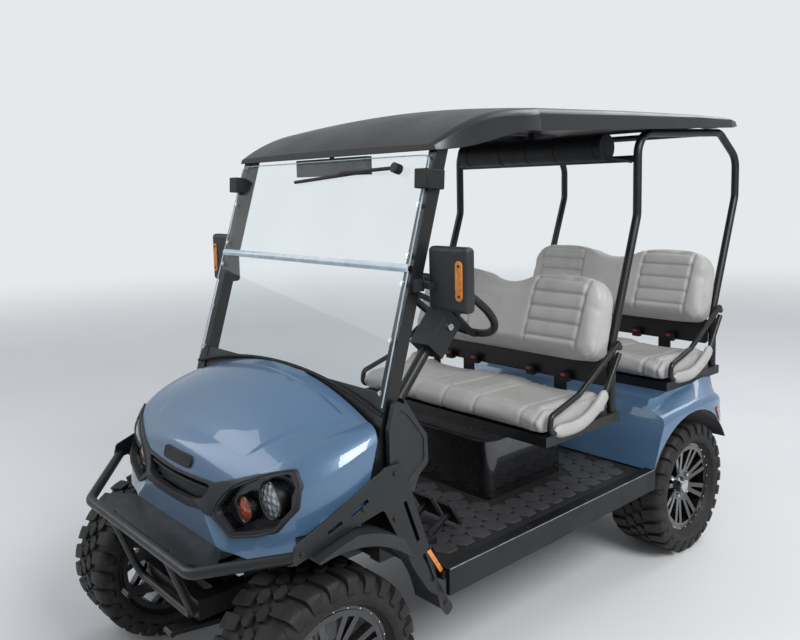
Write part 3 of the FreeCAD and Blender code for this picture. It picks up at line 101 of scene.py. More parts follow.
def polish(tree, shader, place, size, low, high):
    """Roughness that wanders between two values over patches of a size in metres."""
    patches = add(tree, "ShaderNodeTexNoise", {"Scale": 1.0 / size, "Detail": 3.0}, {"Vector": place})
    span = add(tree, "ShaderNodeMapRange", {"From Min": 0.3, "From Max": 0.7, "To Min": low, "To Max": high},
               {"Value": patches.outputs["Fac"]})
    tree.links.new(span.outputs["Result"], shader.inputs["Roughness"])


def relief(tree, shader, height, depth, edge=0.0):
    """Bump of a depth in metres, on edges rounded by a radius in metres."""
    bump = add(tree, "ShaderNodeBump", {"Strength": 1.0, "Distance": depth}, {"Height": height})
    if edge:
        bevel = add(tree, "ShaderNodeBevel", {"Radius": edge}, None, samples=4)
        tree.links.new(bevel.outputs["Normal"], bump.inputs["Normal"])
    tree.links.new(bump.outputs["Normal"], shader.inputs["Normal"])


def dust(tree, shader, place, colour, top, amount):
    """Road dust over a colour, thickest at the ground and gone at a height in metres."""
    height = add(tree, "ShaderNodeSeparateXYZ", None, {"Vector": place})
    fade = add(tree, "ShaderNodeMapRange", {"From Max": top, "To Min": amount, "To Max": 0.0},
               {"Value": height.outputs["Z"]})
    specks = add(tree, "ShaderNodeTexNoise", {"Scale": SPECKS_PER_METRE, "Detail": 6.0, "Roughness": 0.7},
                 {"Vector": place})
    share = add(tree, "ShaderNodeMath", None, {0: fade.outputs["Result"], 1: specks.outputs["Fac"]},
                operation="MULTIPLY")
    mix = add(tree, "ShaderNodeMix", {7: lin(ROAD_DUST)}, {0: share.outputs["Value"], 6: colour},
              data_type="RGBA")
    tree.links.new(mix.outputs[2], shader.inputs["Base Color"])


def dress(material, slot):
    """Gives a material to every CAD node of a material slot."""
    for part in frame["record"]["subparts"]:
        if part["material_slot"] == slot:
            mesh = frame["nodes"][part["node"]].data
            mesh.materials.clear()
            mesh.materials.append(material)


# Powder coat on steel: satin, with soft highlights that break up on a peel 1.4 mm from wave to wave
powder_coat, tree, shader, place = start_material("powder_coated_steel")
polish(tree, shader, place, 0.05, 0.34, 0.46)
skin = tint(tree, shader, place, "0d0e10", "141517", 0.3)
dust(tree, shader, place, skin, 0.6, 0.12)
peel = add(tree, "ShaderNodeTexNoise", {"Scale": PEEL_PER_METRE, "Detail": 2.0}, {"Vector": place})
relief(tree, shader, peel.outputs["Fac"], 0.00006, COATED_EDGE)
dress(powder_coat, "black_steel")

# Steering rack bar
# Ground steel bar between the two tie rods, bright, with turning lines drawn at about a millimetre,
# coarser than real, so that they show.
TURNING_LINES_PER_METRE = 900.0

# Bare ground steel: bright, with highlights that lines 1.1 mm apart smear
ground_steel, tree, shader, place = start_material("ground_steel", {"Metallic": 1.0})
polish(tree, shader, place, 0.01, 0.28, 0.42)
tint(tree, shader, place, "8c8e92", "a3a5a9", 0.05)
lines = add(tree, "ShaderNodeTexNoise", {"Scale": TURNING_LINES_PER_METRE}, {"Vector": place})
relief(tree, shader, lines.outputs["Fac"], 0.00003, 0.001)
dress(ground_steel, "bare_steel")

# Tyres
# 22 inch all-terrain tyres of moulded carbon-black rubber: curved shoulder lugs that wrap on to the
# sidewall, two zigzag rows of centre blocks, and a smooth sidewall with a raised rim guard.
HUB_X = 0.484
HUB_Z = 0.280
AXLE_FRONT = -1.1015
AXLE_REAR = 0.8085
# Columns: corner, side of the cart, hub along the cart
WHEELS = (("front_left", 1, AXLE_FRONT), ("front_right", -1, AXLE_FRONT),
          ("rear_left", 1, AXLE_REAR), ("rear_right", -1, AXLE_REAR))
TREAD_RADIUS = 0.280
LUG_ROWS = 26
LUG_CROWN = 0.0004
# Columns: distance from the tyre's middle, tread radius, root radius, shift round the tyre, half width
LUG_STATIONS = [(0.044, 0.2800, 0.262, 0.011, 0.019), (0.060, 0.2802, 0.260, 0.007, 0.021),
                (0.086, 0.2798, 0.256, 0.001, 0.0225), (0.104, 0.2785, 0.250, -0.003, 0.0225),
                (0.116, 0.2730, 0.244, -0.004, 0.021), (0.1225, 0.2620, 0.240, -0.003, 0.019),
                (0.1255, 0.2470, 0.236, 0.000, 0.017), (0.1258, 0.2360, 0.230, 0.002, 0.014)]
BLOCK_ROOT = 0.262
BLOCK_TOP = 0.2806
BLOCK_MIDDLE = 0.02
# Columns: distance from the tyre's middle, distance round the tyre
BLOCK_CORNERS = [(0.0025, -0.019), (0.0170, -0.028), (0.0365, -0.016), (0.0385, 0.013), (0.0235, 0.024),
                 (0.0025, 0.012)]
# Columns: distance from the tyre's middle, radius, round one half of the carcass
CARCASS = [(0.0, 0.2685), (0.060, 0.2680), (0.098, 0.2650), (0.1115, 0.2560), (0.1195, 0.2440),
           (0.1235, 0.2330), (0.1245, 0.2240), (0.1235, 0.2150), (0.1210, 0.2085), (0.1180, 0.2050),
           (0.1195, 0.2030), (0.1185, 0.2005), (0.1130, 0.1985), (0.1040, 0.1935), (0.0980, 0.1895),
           (0.0900, 0.1840), (0.0885, 0.1790)]
SHARP_EDGE = math.radians(38.0)
RUBBER_GRAIN_PER_METRE = 450.0

# Carbon-black rubber: dark and dull, a little scuffed and dusty, with a grain drawn at 2.2 mm, coarser
# than real
tyre_rubber, tree, shader, place = start_material("tyre_rubber", {"Specular IOR Level": 0.4})
polish(tree, shader, place, 0.02, 0.55, 0.75)
skin = tint(tree, shader, place, "0e0f10", "181819", 0.06)
dust(tree, shader, place, skin, 0.7, 0.14)
grain = add(tree, "ShaderNodeTexNoise", {"Scale": RUBBER_GRAIN_PER_METRE, "Detail": 5.0}, {"Vector": place})
relief(tree, shader, grain.outputs["Fac"], 0.0002, 0.0012)
dress(tyre_rubber, "tyre_rubber")


def lathe(bm, profile, centre, axis, steps=48, ring=False):
    """Adds (distance along the axis, radius) points turned about it; a ring joins its last to its first."""
    axis = Vector(axis).normalized()
    side = axis.orthogonal().normalized()
    other = axis.cross(side)
    turns = [math.tau * i / steps for i in range(steps)]
    loops = []
    for along, radius in profile:
        middle = Vector(centre) + axis * along
        if radius < 1e-6:
            loops.append([bm.verts.new(middle)])
            continue
        spokes = [side * math.cos(t) + other * math.sin(t) for t in turns]
        loops.append([bm.verts.new(middle + spoke * radius) for spoke in spokes])
    for first, second in zip(loops, loops[1:] + (loops[:1] if ring else [])):
        for i in range(steps):
            corners = []
            for vert in (first[i % len(first)], first[(i + 1) % steps % len(first)],
                         second[(i + 1) % steps % len(second)], second[i % len(second)]):
                if vert not in corners:
                    corners.append(vert)
            if len(corners) > 2:
                bm.faces.new(corners)


def skin_loops(bm, loops, capped=True):
    """Joins loops of points one to the next, and closes both ends."""
    rows = [[bm.verts.new(point) for point in loop] for loop in loops]
    count = len(rows[0])
    for first, second in zip(rows, rows[1:]):
        for i in range(count):
            j = (i + 1) % count
            bm.faces.new((first[i], first[j], second[j], second[i]))
    if capped:
        bm.faces.new(rows[0][::-1])
        bm.faces.new(rows[-1])


def to_object(name, bm, material):
    """An object from a mesh being built, with outward faces, smooth between its sharp edges."""
    bmesh.ops.recalc_face_normals(bm, faces=bm.faces)
    mesh = bpy.data.meshes.new(name)
    bm.to_mesh(mesh)
    bm.free()
    mesh.materials.append(material)
    mesh.polygons.foreach_set("use_smooth", [True] * len(mesh.polygons))
    mesh.set_sharp_from_angle(angle=SHARP_EDGE)
    piece = bpy.data.objects.new(name, mesh)
    scene.collection.objects.link(piece)
    return piece


def fit(name, bm, material, body, edge=0.0):
    """A finished piece: its mesh, its edges rounded by a radius and the body it rides on."""
    piece = to_object(name, bm, material)
    if edge:
        rounding = piece.modifiers.new("rounding", "BEVEL")
        rounding.width = edge
        rounding.segments = 2
        rounding.angle_limit = SHARP_EDGE
    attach(piece, body)
    return piece


# Copies of one small part stand on the points of a mesh, each turned by the point's own angles
spread = bpy.data.node_groups.new("parts_on_points", "GeometryNodeTree")
sockets = spread.interface
sockets.new_socket("Points", in_out="INPUT", socket_type="NodeSocketGeometry")
PART_SOCKET = sockets.new_socket("Part", in_out="INPUT", socket_type="NodeSocketObject").identifier
SIZE_SOCKET = sockets.new_socket("Size", in_out="INPUT", socket_type="NodeSocketFloat").identifier
FINISH_SOCKET = sockets.new_socket("Finish", in_out="INPUT", socket_type="NodeSocketMaterial").identifier
sockets.new_socket("Parts", in_out="OUTPUT", socket_type="NodeSocketGeometry")
given = add(spread, "NodeGroupInput")
source = add(spread, "GeometryNodeObjectInfo", None, {"Object": given.outputs["Part"]})
turn = add(spread, "GeometryNodeInputNamedAttribute", None, None, data_type="FLOAT_VECTOR")
turn.inputs["Name"].default_value = "turn"
angles = add(spread, "FunctionNodeEulerToRotation", None, {"Euler": turn.outputs["Attribute"]})
copies = add(spread, "GeometryNodeInstanceOnPoints", None, {
    "Points": given.outputs["Points"], "Instance": source.outputs["Geometry"],
    "Rotation": angles.outputs["Rotation"], "Scale": given.outputs["Size"]})
solid = add(spread, "GeometryNodeRealizeInstances", None, {"Geometry": copies.outputs["Instances"]})
finished = add(spread, "GeometryNodeSetMaterial", None, {
    "Geometry": solid.outputs["Geometry"], "Material": given.outputs["Finish"]})
add(spread, "NodeGroupOutput", None, {"Parts": finished.outputs["Geometry"]})


def repeat(name, bm, spots, material, body):
    """A part repeated at full size on (place, angles) spots, as one mesh that rides on a body."""
    part = to_object(name + "_part", bm, material)
    points = bpy.data.meshes.new(name)
    points.from_pydata([place for place, angles in spots], [], [])
    turns = points.attributes.new("turn", "FLOAT_VECTOR", "POINT")
    turns.data.foreach_set("vector", [value for place, angles in spots for value in angles])
    piece = bpy.data.objects.new(name, points)
    scene.collection.objects.link(piece)
    copying = piece.modifiers.new("copies", "NODES")
    copying.node_group = spread
    copying[PART_SOCKET] = part
    copying[SIZE_SOCKET] = 1.0
    copying[FINISH_SOCKET] = material
    view_layer = bpy.context.evaluated_depsgraph_get()
    plain = bpy.data.meshes.new_from_object(piece.evaluated_get(view_layer))
    piece.modifiers.clear()
    piece.data = plain
    bpy.data.objects.remove(part)
    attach(piece, body)


def wheel_spots(side, hub_y, count, start=0.0):
    """Turns about an axle, with each part built at the top of its wheel round the hub."""
    hub = (side * HUB_X, hub_y, HUB_Z)
    return [(hub, (math.tau * (i + start) / count, 0.0, 0.0)) for i in range(count)]


def rolled(x, along, radius):
    """A point of the tread from its distance round the tyre."""
    angle = along / TREAD_RADIUS
    return Vector((x, -radius * math.sin(angle), radius * math.cos(angle)))


def lug(sign):
    """A lug of the outer (1) or inner (-1) shoulder, with five points at each station."""
    bm = bmesh.new()
    skin_loops(bm, [[rolled(sign * x, sign * shift + along, radius) for along, radius in
                     ((-half, root), (-half, top), (0.0, top + LUG_CROWN), (half, top), (half, root))]
                    for x, top, root, shift, half in LUG_STATIONS])
    return bm


def block(sign):
    """A centre block of the outer (1) or inner (-1) row, its face a little smaller than its foot."""
    bm = bmesh.new()
    foot = [rolled(sign * x, sign * along, BLOCK_ROOT) for x, along in BLOCK_CORNERS]
    face = [rolled(sign * (BLOCK_MIDDLE + (x - BLOCK_MIDDLE) * 0.95), sign * along * 0.96, BLOCK_TOP)
            for x, along in BLOCK_CORNERS]
    skin_loops(bm, [foot, face])
    return bm


for corner, side, hub_y in WHEELS:
    body = "wheel_" + corner
    bm = bmesh.new()
    loop = CARCASS + [(-x, radius) for x, radius in reversed(CARCASS[1:])]
    lathe(bm, loop, (side * HUB_X, hub_y, HUB_Z), (1, 0, 0), steps=104, ring=True)
    carcass = fit("tyre_carcass_" + corner, bm, tyre_rubber, body)
    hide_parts("tyre_" + corner)
    for row, sign in (("outer", 1), ("inner", -1)):
        lug_turns = wheel_spots(side, hub_y, LUG_ROWS, 0.25 * sign)
        repeat("tyre_lugs_" + row + "_" + corner, lug(sign), lug_turns, tyre_rubber, body)
        block_turns = wheel_spots(side, hub_y, LUG_ROWS, 0.5 + 0.3 * sign)
        repeat("tyre_blocks_" + row + "_" + corner, block(sign), block_turns, tyre_rubber,
               body)

# Rims
# 14 inch cast aluminium wheels in gloss black enamel, with twin spokes, a ring of bright rivets round the
# lip, four nuts round the hub and a bright domed cap.
RIM_FACE = 0.095
RIVETS = 24
RIVET_CIRCLE = 0.1835
# Columns: distance out from the rim's face, radius
RIVET_PROFILE = ((-0.001, 0.0), (-0.001, 0.0042), (0.0015, 0.0036), (0.0028, 0.002), (0.003, 0.0))
NUTS = 4
NUT_CIRCLE = 0.052
# Columns: distance out from the wheel's middle, radius
NUT_PROFILE = ((0.060, 0.0), (0.060, 0.0095), (0.079, 0.0095), (0.083, 0.007), (0.084, 0.0))
CAP_PROFILE = ((0.080, 0.0), (0.080, 0.030), (0.088, 0.0298), (0.093, 0.027), (0.0955, 0.021), (0.097, 0.010),
               (0.0973, 0.0))
LIP_PROFILE = ((0.0875, 0.1745), (0.0975, 0.1760), (0.0975, 0.1790), (0.0875, 0.1800))
ENAMEL_WAVES_PER_METRE = 160.0
ZINC_WEAR_PER_METRE = 500.0

# Baked enamel under clear coat: deep black with sharp reflections, hardly stirred by waves of 6 mm
gloss_enamel, tree, shader, place = start_material("gloss_black_enamel", {
    "Coat Weight": 1.0, "Coat Roughness": 0.04, "Coat IOR": 1.5})
polish(tree, shader, place, 0.03, 0.2, 0.3)
skin = tint(tree, shader, place, "08080a", "101113", 0.1)
dust(tree, shader, place, skin, 0.5, 0.05)
wave = add(tree, "ShaderNodeTexNoise", {"Scale": ENAMEL_WAVES_PER_METRE}, {"Vector": place})
relief(tree, shader, wave.outputs["Fac"], 0.00003, 0.0025)
dress(gloss_enamel, "gloss_black")

# Bright zinc plate: pale, shiny metal with fine wear, drawn at 2 mm, coarser than real
bright_zinc, tree, shader, place = start_material("bright_zinc_plate", {"Metallic": 1.0})
polish(tree, shader, place, 0.004, 0.16, 0.3)
tint(tree, shader, place, "b9bbbe", "d4d5d6", 0.01)
wear = add(tree, "ShaderNodeTexNoise", {"Scale": ZINC_WEAR_PER_METRE}, {"Vector": place})
relief(tree, shader, wear.outputs["Fac"], 0.00004)

for corner, side, hub_y in WHEELS:
    body = "wheel_" + corner
    hub = (side * HUB_X, hub_y, HUB_Z)
    bm = bmesh.new()
    lathe(bm, [(side * (RIM_FACE + out), radius) for out, radius in RIVET_PROFILE], (0, 0, RIVET_CIRCLE),
          (1, 0, 0), steps=12)
    repeat("rim_rivets_" + corner, bm, wheel_spots(side, hub_y, RIVETS), bright_zinc, body)
    bm = bmesh.new()
    lathe(bm, [(side * out, radius) for out, radius in NUT_PROFILE], (0, 0, NUT_CIRCLE), (1, 0, 0), steps=6)
    repeat("rim_nuts_" + corner, bm, wheel_spots(side, hub_y, NUTS, 0.5), bright_zinc, body)
    bm = bmesh.new()
    lathe(bm, CAP_PROFILE, hub, (side, 0, 0), steps=40)
    fit("rim_cap_" + corner, bm, bright_zinc, body)
    bm = bmesh.new()
    lathe(bm, LIP_PROFILE, hub, (side, 0, 0), steps=80, ring=True)
    fit("rim_lip_" + corner, bm, gloss_enamel, body)

# Cowl and rear body
# Moulded thermoplastic panels sprayed slate blue with a fine metallic base under a clear coat. The hood's
# raised middle has two creases, which widen towards the windshield and die out at the nose.
NOSE_END = -1.200
# Columns: distance behind the nose end, half width
CREASES = [(0.0, 0.283), (0.090, 0.338), (0.185, 0.395), (0.300, 0.440)]
END_BOW = 0.10
NOSE_FADE = 0.070
SCREEN_FADE = 0.012
CREASE_RISE = 0.007
CREASE_RUN = 0.020
SUNK_EDGE = 0.0012
SUNK_BACK = 0.003
MIDDLE_GAP = 0.002
HOOD_STEPS = 60
SLOPE_STEPS = 9
FLAT_STEPS = 10
# The flakes are drawn at about half a millimetre, coarser than real, so that they show
FLAKES_PER_METRE = 1800.0
PAINT_WAVES_PER_METRE = 140.0

# Metallic base under clear coat: sky-bright reflections over a soft glitter, stirred by waves of 7 mm
slate_paint, tree, shader, place = start_material("metallic_slate_paint", {
    "Metallic": 0.15, "Coat Weight": 0.8, "Coat Roughness": 0.03, "Coat IOR": 1.5})
polish(tree, shader, place, 0.004, 0.3, 0.4)
flake = add(tree, "ShaderNodeTexVoronoi", {"Scale": FLAKES_PER_METRE}, {"Vector": place})
sparkle = add(tree, "ShaderNodeMapRange", {"To Min": 0.0, "To Max": 0.3}, {"Value": flake.outputs["Color"]})
base = tint(tree, shader, place, "42617f", "49698a", 0.6)
flakes = add(tree, "ShaderNodeMix", {7: lin("6787a4")}, {0: sparkle.outputs["Result"], 6: base},
             data_type="RGBA")
dust(tree, shader, place, flakes.outputs[2], 0.7, 0.08)
wave = add(tree, "ShaderNodeTexNoise", {"Scale": PAINT_WAVES_PER_METRE, "Detail": 1.0}, {"Vector": place})
relief(tree, shader, wave.outputs["Fac"], 0.00003, 0.004)
dress(slate_paint, "blue_paint")


def laid_on(node, points, way):
    """Points moved along a way until they meet a CAD node's surface."""
    mesh = frame["nodes"][node].data
    tree = BVHTree.FromPolygons([v.co for v in mesh.vertices], [p.vertices for p in mesh.polygons])
    way = Vector(way).normalized()
    found = [tree.ray_cast(Vector(point) - way * 1.5, way)[0] for point in points]
    return [spot for spot in found if spot is not None]


def eased(value):
    """Rises smoothly from 0 at 0 to 1 at 1."""
    value = min(1.0, max(0.0, value))
    return value * value * (3.0 - 2.0 * value)


def half_width(back):
    """Half width of the raised middle at a distance behind its nose end."""
    low, high = [pair for pair in zip(CREASES, CREASES[1:]) if pair[0][0] <= back + 1e-9][-1]
    return low[1] + (high[1] - low[1]) * (back - low[0]) / (high[0] - low[0])


def steps_in(width):
    """Distances in from a crease, close together down its slope and wide over the flat."""
    slope = [CREASE_RUN * k / SLOPE_STEPS for k in range(SLOPE_STEPS + 1)]
    flat = width - CREASE_RUN - MIDDLE_GAP
    return slope + [CREASE_RUN + flat * k / FLAT_STEPS for k in range(1, FLAT_STEPS + 1)]


length, widest = CREASES[-1]
spots = []
rises = []
for i in range(HOOD_STEPS + 1):
    back = length * i / HOOD_STEPS
    width = half_width(back)
    ends = min(eased(back / NOSE_FADE), eased((length - back) / SCREEN_FADE))
    inward_row = steps_in(width)
    for sign, row in ((-1, inward_row), (1, inward_row[::-1])):
        for inward in row:
            x = sign * (width - inward)
            spots.append(Vector((x, NOSE_END + back * (1.0 - END_BOW * (x / widest) ** 2), 0.0)))
            rises.append(CREASE_RISE * eased(inward / CREASE_RUN) * ends - SUNK_EDGE)
met = laid_on("front_cowl", spots, (0, 0, -1))
tops = [spot + Vector((0.0, 0.0, rise)) for spot, rise in zip(met, rises)]
backs = [spot - Vector((0.0, 0.0, SUNK_BACK)) for spot in met]
count = len(spots) // (HOOD_STEPS + 1)
bm = bmesh.new()
skin_loops(bm, [tops[start:start + count] + backs[start:start + count][::-1]
                for start in range(0, len(spots), count)])
fit("hood_raised_middle", bm, slate_paint, "chassis")

# Bezel, flares, dash, pods and mirrors
# Injection moulded plastic, screwed to the body from behind: leather-grained charcoal for what shows, and
# plain black for what carries it. A raised lip runs round each lamp pocket and round the blank nose badge.
SIDES = ((1, "left"), (-1, "right"))
POCKET = [(0.226, 0.684), (0.290, 0.763), (0.380, 0.809), (0.470, 0.835), (0.499, 0.801), (0.498, 0.744),
          (0.463, 0.689), (0.300, 0.637)]
POCKET_MIDDLE = (0.372, 0.737)
# Shares of the pocket's and the badge's outline, across and up, at which their lips run
POCKET_SHARES = (1.035, 1.05)
BORDER_SHARES = (0.96, 0.86)
BORDER = [(-0.084, 0.776), (-0.086, 0.806), (-0.060, 0.8085), (0.060, 0.8085), (0.086, 0.806), (0.084, 0.776),
          (0.060, 0.7735), (-0.060, 0.7735)]
BADGE_HEIGHT = 0.791
NOSE = -1.1
LEATHER_GRAIN_PER_METRE = 850.0
SPARK_GRAIN_PER_METRE = 620.0

# Charcoal polypropylene with a leather grain of 1.2 mm: soft, broken highlights
charcoal, tree, shader, place = start_material("grained_charcoal_plastic", {"Specular IOR Level": 0.45})
polish(tree, shader, place, 0.03, 0.44, 0.56)
skin = tint(tree, shader, place, "1f2124", "282a2d", 0.25)
dust(tree, shader, place, skin, 0.7, 0.08)
grain = add(tree, "ShaderNodeTexVoronoi", {"Scale": LEATHER_GRAIN_PER_METRE}, {"Vector": place},
            feature="SMOOTH_F1")
relief(tree, shader, grain.outputs["Distance"], 0.00012, 0.003)
dress(charcoal, "charcoal_plastic")

# Black polypropylene from a spark-eroded mould: dull, with a sandy skin drawn at 1.6 mm, coarser than real
black_moulding, tree, shader, place = start_material("black_moulding", {"Specular IOR Level": 0.4})
polish(tree, shader, place, 0.04, 0.46, 0.6)
skin = tint(tree, shader, place, "0f1012", "17181a", 0.2)
dust(tree, shader, place, skin, 0.6, 0.1)
grain = add(tree, "ShaderNodeTexNoise", {"Scale": SPARK_GRAIN_PER_METRE, "Detail": 3.0}, {"Vector": place})
relief(tree, shader, grain.outputs["Fac"], 0.0001, 0.002)
dress(black_moulding, "black_plastic")


def rounded(points, steps=8):
    """A smooth closed path through points, with the same number of steps between each two."""
    spots = []
    count = len(points)
    for i in range(count):
        before, start, end, after = [Vector(points[(i + k) % count]) for k in (-1, 0, 1, 2)]
        for step in range(steps):
            t = step / steps
            spots.append(0.5 * (2.0 * start + (end - before) * t
                                + (2.0 * before - 5.0 * start + 4.0 * end - after) * t * t
                                + (3.0 * start - before - 3.0 * end + after) * t ** 3))
    return spots


def sweep(bm, path, section, up, closed=False):
    """Carries a section of (across, up) points along a path."""
    count = len(path)
    loops = []
    for i, spot in enumerate(path):
        before = path[(i - 1) % count] if closed else path[max(i - 1, 0)]
        after = path[(i + 1) % count] if closed else path[min(i + 1, count - 1)]
        ahead = (Vector(after) - Vector(before)).normalized()
        across = ahead.cross(Vector(up)).normalized()
        above = across.cross(ahead)
        loops.append([Vector(spot) + across * a + above * b for a, b in section])
    if closed:
        loops.append(loops[0])
    skin_loops(bm, loops, capped=not closed)
    if closed:
        bmesh.ops.remove_doubles(bm, verts=bm.verts, dist=1e-6)


def oval(width, height, steps=12):
    """Section of an ellipse with a full width and height."""
    turns = [math.tau * i / steps for i in range(steps)]
    return [(width / 2.0 * math.cos(t), height / 2.0 * math.sin(t)) for t in turns]


def about(point, middle, wider, taller):
    """An (x, z) point of the nose moved out from a middle by two factors."""
    return Vector((middle[0] + (point.x - middle[0]) * wider, NOSE,
                   middle[1] + (point.z - middle[1]) * taller))


for side, hand in SIDES:
    pocket = rounded([(side * x, NOSE, z) for x, z in POCKET])
    middle = (side * POCKET_MIDDLE[0], POCKET_MIDDLE[1])
    lip = laid_on("grille_bezel", [about(point, middle, *POCKET_SHARES) for point in pocket], (0, 1, 0))
    bm = bmesh.new()
    sweep(bm, lip, oval(0.007, 0.007), (0, -1, 0), closed=True)
    fit("lamp_pocket_lip_" + hand, bm, charcoal, "chassis")
border = rounded([(x, NOSE, z) for x, z in BORDER], 5)
path = laid_on("nose_badge", [about(point, (0.0, BADGE_HEIGHT), *BORDER_SHARES) for point in border],
               (0, 1, 0))
bm = bmesh.new()
sweep(bm, path, oval(0.004, 0.004, 8), (0, -1, 0), closed=True)
fit("badge_border", bm, black_moulding, "chassis")

# Headlamps
# Black lamp pockets with a round clear LED lamp outboard and a round amber indicator inboard, each a
# moulded acrylic lens over a silvered reflector with small cups.
CUPS_PER_METRE = 48.0
HOUSING_GRAIN_PER_METRE = 500.0
# Columns: lamp, distance from the cart's middle, height, radius, distance behind the front axle
LAMPS = (("led", 0.415, 0.750, 0.051, -0.076), ("indicator", 0.325, 0.708, 0.037, -0.104))

# Black polycarbonate housing: near-gloss, almost no colour, with a skin drawn at 2 mm, coarser than real
lamp_housing, tree, shader, place = start_material("lamp_housing", {
    "Coat Weight": 0.4, "Coat Roughness": 0.08})
polish(tree, shader, place, 0.02, 0.22, 0.32)
tint(tree, shader, place, "09090a", "121316", 0.05)
grain = add(tree, "ShaderNodeTexNoise", {"Scale": HOUSING_GRAIN_PER_METRE}, {"Vector": place})
relief(tree, shader, grain.outputs["Fac"], 0.00004, 0.002)
dress(lamp_housing, "lamp_black")

# Acrylic over a silvered reflector: cups of 21 mm, each with a painted highlight in its middle and painted
# shade at its border, under a glassy skin
LENS_FINISH = {}
for name, tone_and_shade, tone_and_highlight, metal in (("led", "6a6f76", "e4e8ec", 0.6), ("indicator", "8e2f0c", "f07a1c", 0.1)):
    lens, tree, shader, place = start_material(name + "_acrylic_lens", {
        "Metallic": metal, "Coat Weight": 1.0, "Coat Roughness": 0.02, "Coat IOR": 1.49})
    cups = add(tree, "ShaderNodeTexVoronoi", {"Scale": CUPS_PER_METRE, "Randomness": 0.35},
               {"Vector": place})
    # Each cup runs from the lens's own tone with a painted highlight in its middle to its tone with painted
    # shade at its border
    shade = add(tree, "ShaderNodeValToRGB", None, {"Fac": cups.outputs["Distance"]})
    middle, edge = shade.color_ramp.elements
    middle.color = lin(tone_and_highlight)
    edge.color = lin(tone_and_shade)
    edge.position = 0.55
    tree.links.new(shade.outputs["Color"], shader.inputs["Base Color"])
    polish(tree, shader, place, 0.01, 0.12, 0.25)
    relief(tree, shader, cups.outputs["Distance"], -0.006)
    LENS_FINISH[name] = lens

for side, hand in SIDES:
    for name, x, z, radius, y in LAMPS:
        centre = (side * x, AXLE_FRONT + y, z)
        bm = bmesh.new()
        lathe(bm, [(-0.004, 0.0), (-0.004, radius * 0.93), (0.004, radius * 0.93), (0.009, radius * 0.75),
                   (0.012, radius * 0.4), (0.0128, 0.0)], centre, (0, -1, 0))
        fit("lens_" + name + "_" + hand, bm, LENS_FINISH[name], "chassis")
        bm = bmesh.new()
        lathe(bm, [(-0.010, radius * 0.9), (-0.010, radius * 1.08), (0.006, radius * 1.08),
                   (0.0085, radius * 1.02), (0.006, radius * 0.92)], centre, (0, -1, 0), ring=True)
        fit("lens_ring_" + name + "_" + hand, bm, lamp_housing, "chassis")

# Tail lamps
# Moulded red acrylic with fine level ribs, one every 3.5 mm, let into the rear corners of the body.
RIB_SCALE = 90.0

# Clear red acrylic: deep red, wet-looking, broken into bands by the ribs
red_acrylic, tree, shader, place = start_material("red_acrylic", {
    "Transmission Weight": 0.2, "IOR": 1.49, "Coat Weight": 1.0, "Coat Roughness": 0.03})
polish(tree, shader, place, 0.01, 0.1, 0.18)
tint(tree, shader, place, "860c18", "a81422", 0.03)
ribs = add(tree, "ShaderNodeTexWave", {"Scale": RIB_SCALE}, {"Vector": place}, bands_direction="Z")
relief(tree, shader, ribs.outputs["Fac"], 0.0006, 0.001)
dress(red_acrylic, "red_lens")

# Floor mat and side channels
# Moulded black rubber mat with raised hexagon pads, between two dark anodised extruded channels that have
# a bright trimmed edge and are held by flat screws.
MAT_TOP = 0.435
MAT_MARGIN = 0.044
MAT_HALF = 0.527
HEX_WIDTH = 0.080
HEX_ROW_SHARE = 0.866
HEX_START = 0.05
HEX_ROOM = 0.048
# Where the front seat base stands on the mat: half width with room, and its run behind the front axle
BASE_HALF = 0.378
BASE_RUN = (0.905, 1.335)
# Columns: reach of a corner, height above the mat
HEX_PROFILE = ((0.0446, -0.002), (0.0442, 0.0028), (0.0430, 0.0038), (0.0414, 0.0040))
EDGE_SECTION = [(-0.0016, -0.0014), (0.0016, -0.0014), (0.0016, 0.0010), (-0.0016, 0.0010)]
SCREW_X = 0.580
SCREW_STATIONS = (0.492, 0.824, 1.160, 1.510)
MAT_GRAIN_PER_METRE = 800.0
BRUSH_LINES_PER_METRE = 1500.0
SAW_NICKS_PER_METRE = 300.0

# Moulded rubber in the grooves, never touched: dark and dull, with a grain of 1.25 mm
mat_rubber, tree, shader, place = start_material("mat_rubber", {"Specular IOR Level": 0.35})
polish(tree, shader, place, 0.03, 0.55, 0.7)
skin = tint(tree, shader, place, "0c0d0e", "131415", 0.15)
dust(tree, shader, place, skin, 1.4, 0.08)
grain = add(tree, "ShaderNodeTexNoise", {"Scale": MAT_GRAIN_PER_METRE, "Detail": 2.0}, {"Vector": place})
relief(tree, shader, grain.outputs["Fac"], 0.00015, 0.001)
dress(mat_rubber, "mat_rubber")

# Dark anodised aluminium, brushed along the cart: long soft streaks of light. The brush lines are drawn
# at about two thirds of a millimetre, coarser than real.
anodised, tree, shader, place = start_material("anodised_aluminium", {"Metallic": 0.8})
polish(tree, shader, place, 0.08, 0.36, 0.5)
skin = tint(tree, shader, place, "2a2c2f", "35383b", 0.4)
dust(tree, shader, place, skin, 0.5, 0.08)
along = add(tree, "ShaderNodeMapping", {"Scale": (1.0, 0.02, 1.0)}, {"Vector": place})
brush = add(tree, "ShaderNodeTexNoise", {"Scale": BRUSH_LINES_PER_METRE, "Detail": 2.0},
            {"Vector": along.outputs["Vector"]})
relief(tree, shader, brush.outputs["Fac"], 0.00004, 0.0016)
dress(anodised, "black_aluminium")

# Aluminium where the trim cut bared it: bright, with nicks about 3 mm apart
trimmed_edge, tree, shader, place = start_material("trimmed_aluminium_edge", {"Metallic": 1.0})
polish(tree, shader, place, 0.02, 0.25, 0.4)
tint(tree, shader, place, "9da0a4", "c2c4c6", 0.03)
nicks = add(tree, "ShaderNodeTexNoise", {"Scale": SAW_NICKS_PER_METRE}, {"Vector": place})
relief(tree, shader, nicks.outputs["Fac"], 0.0001)
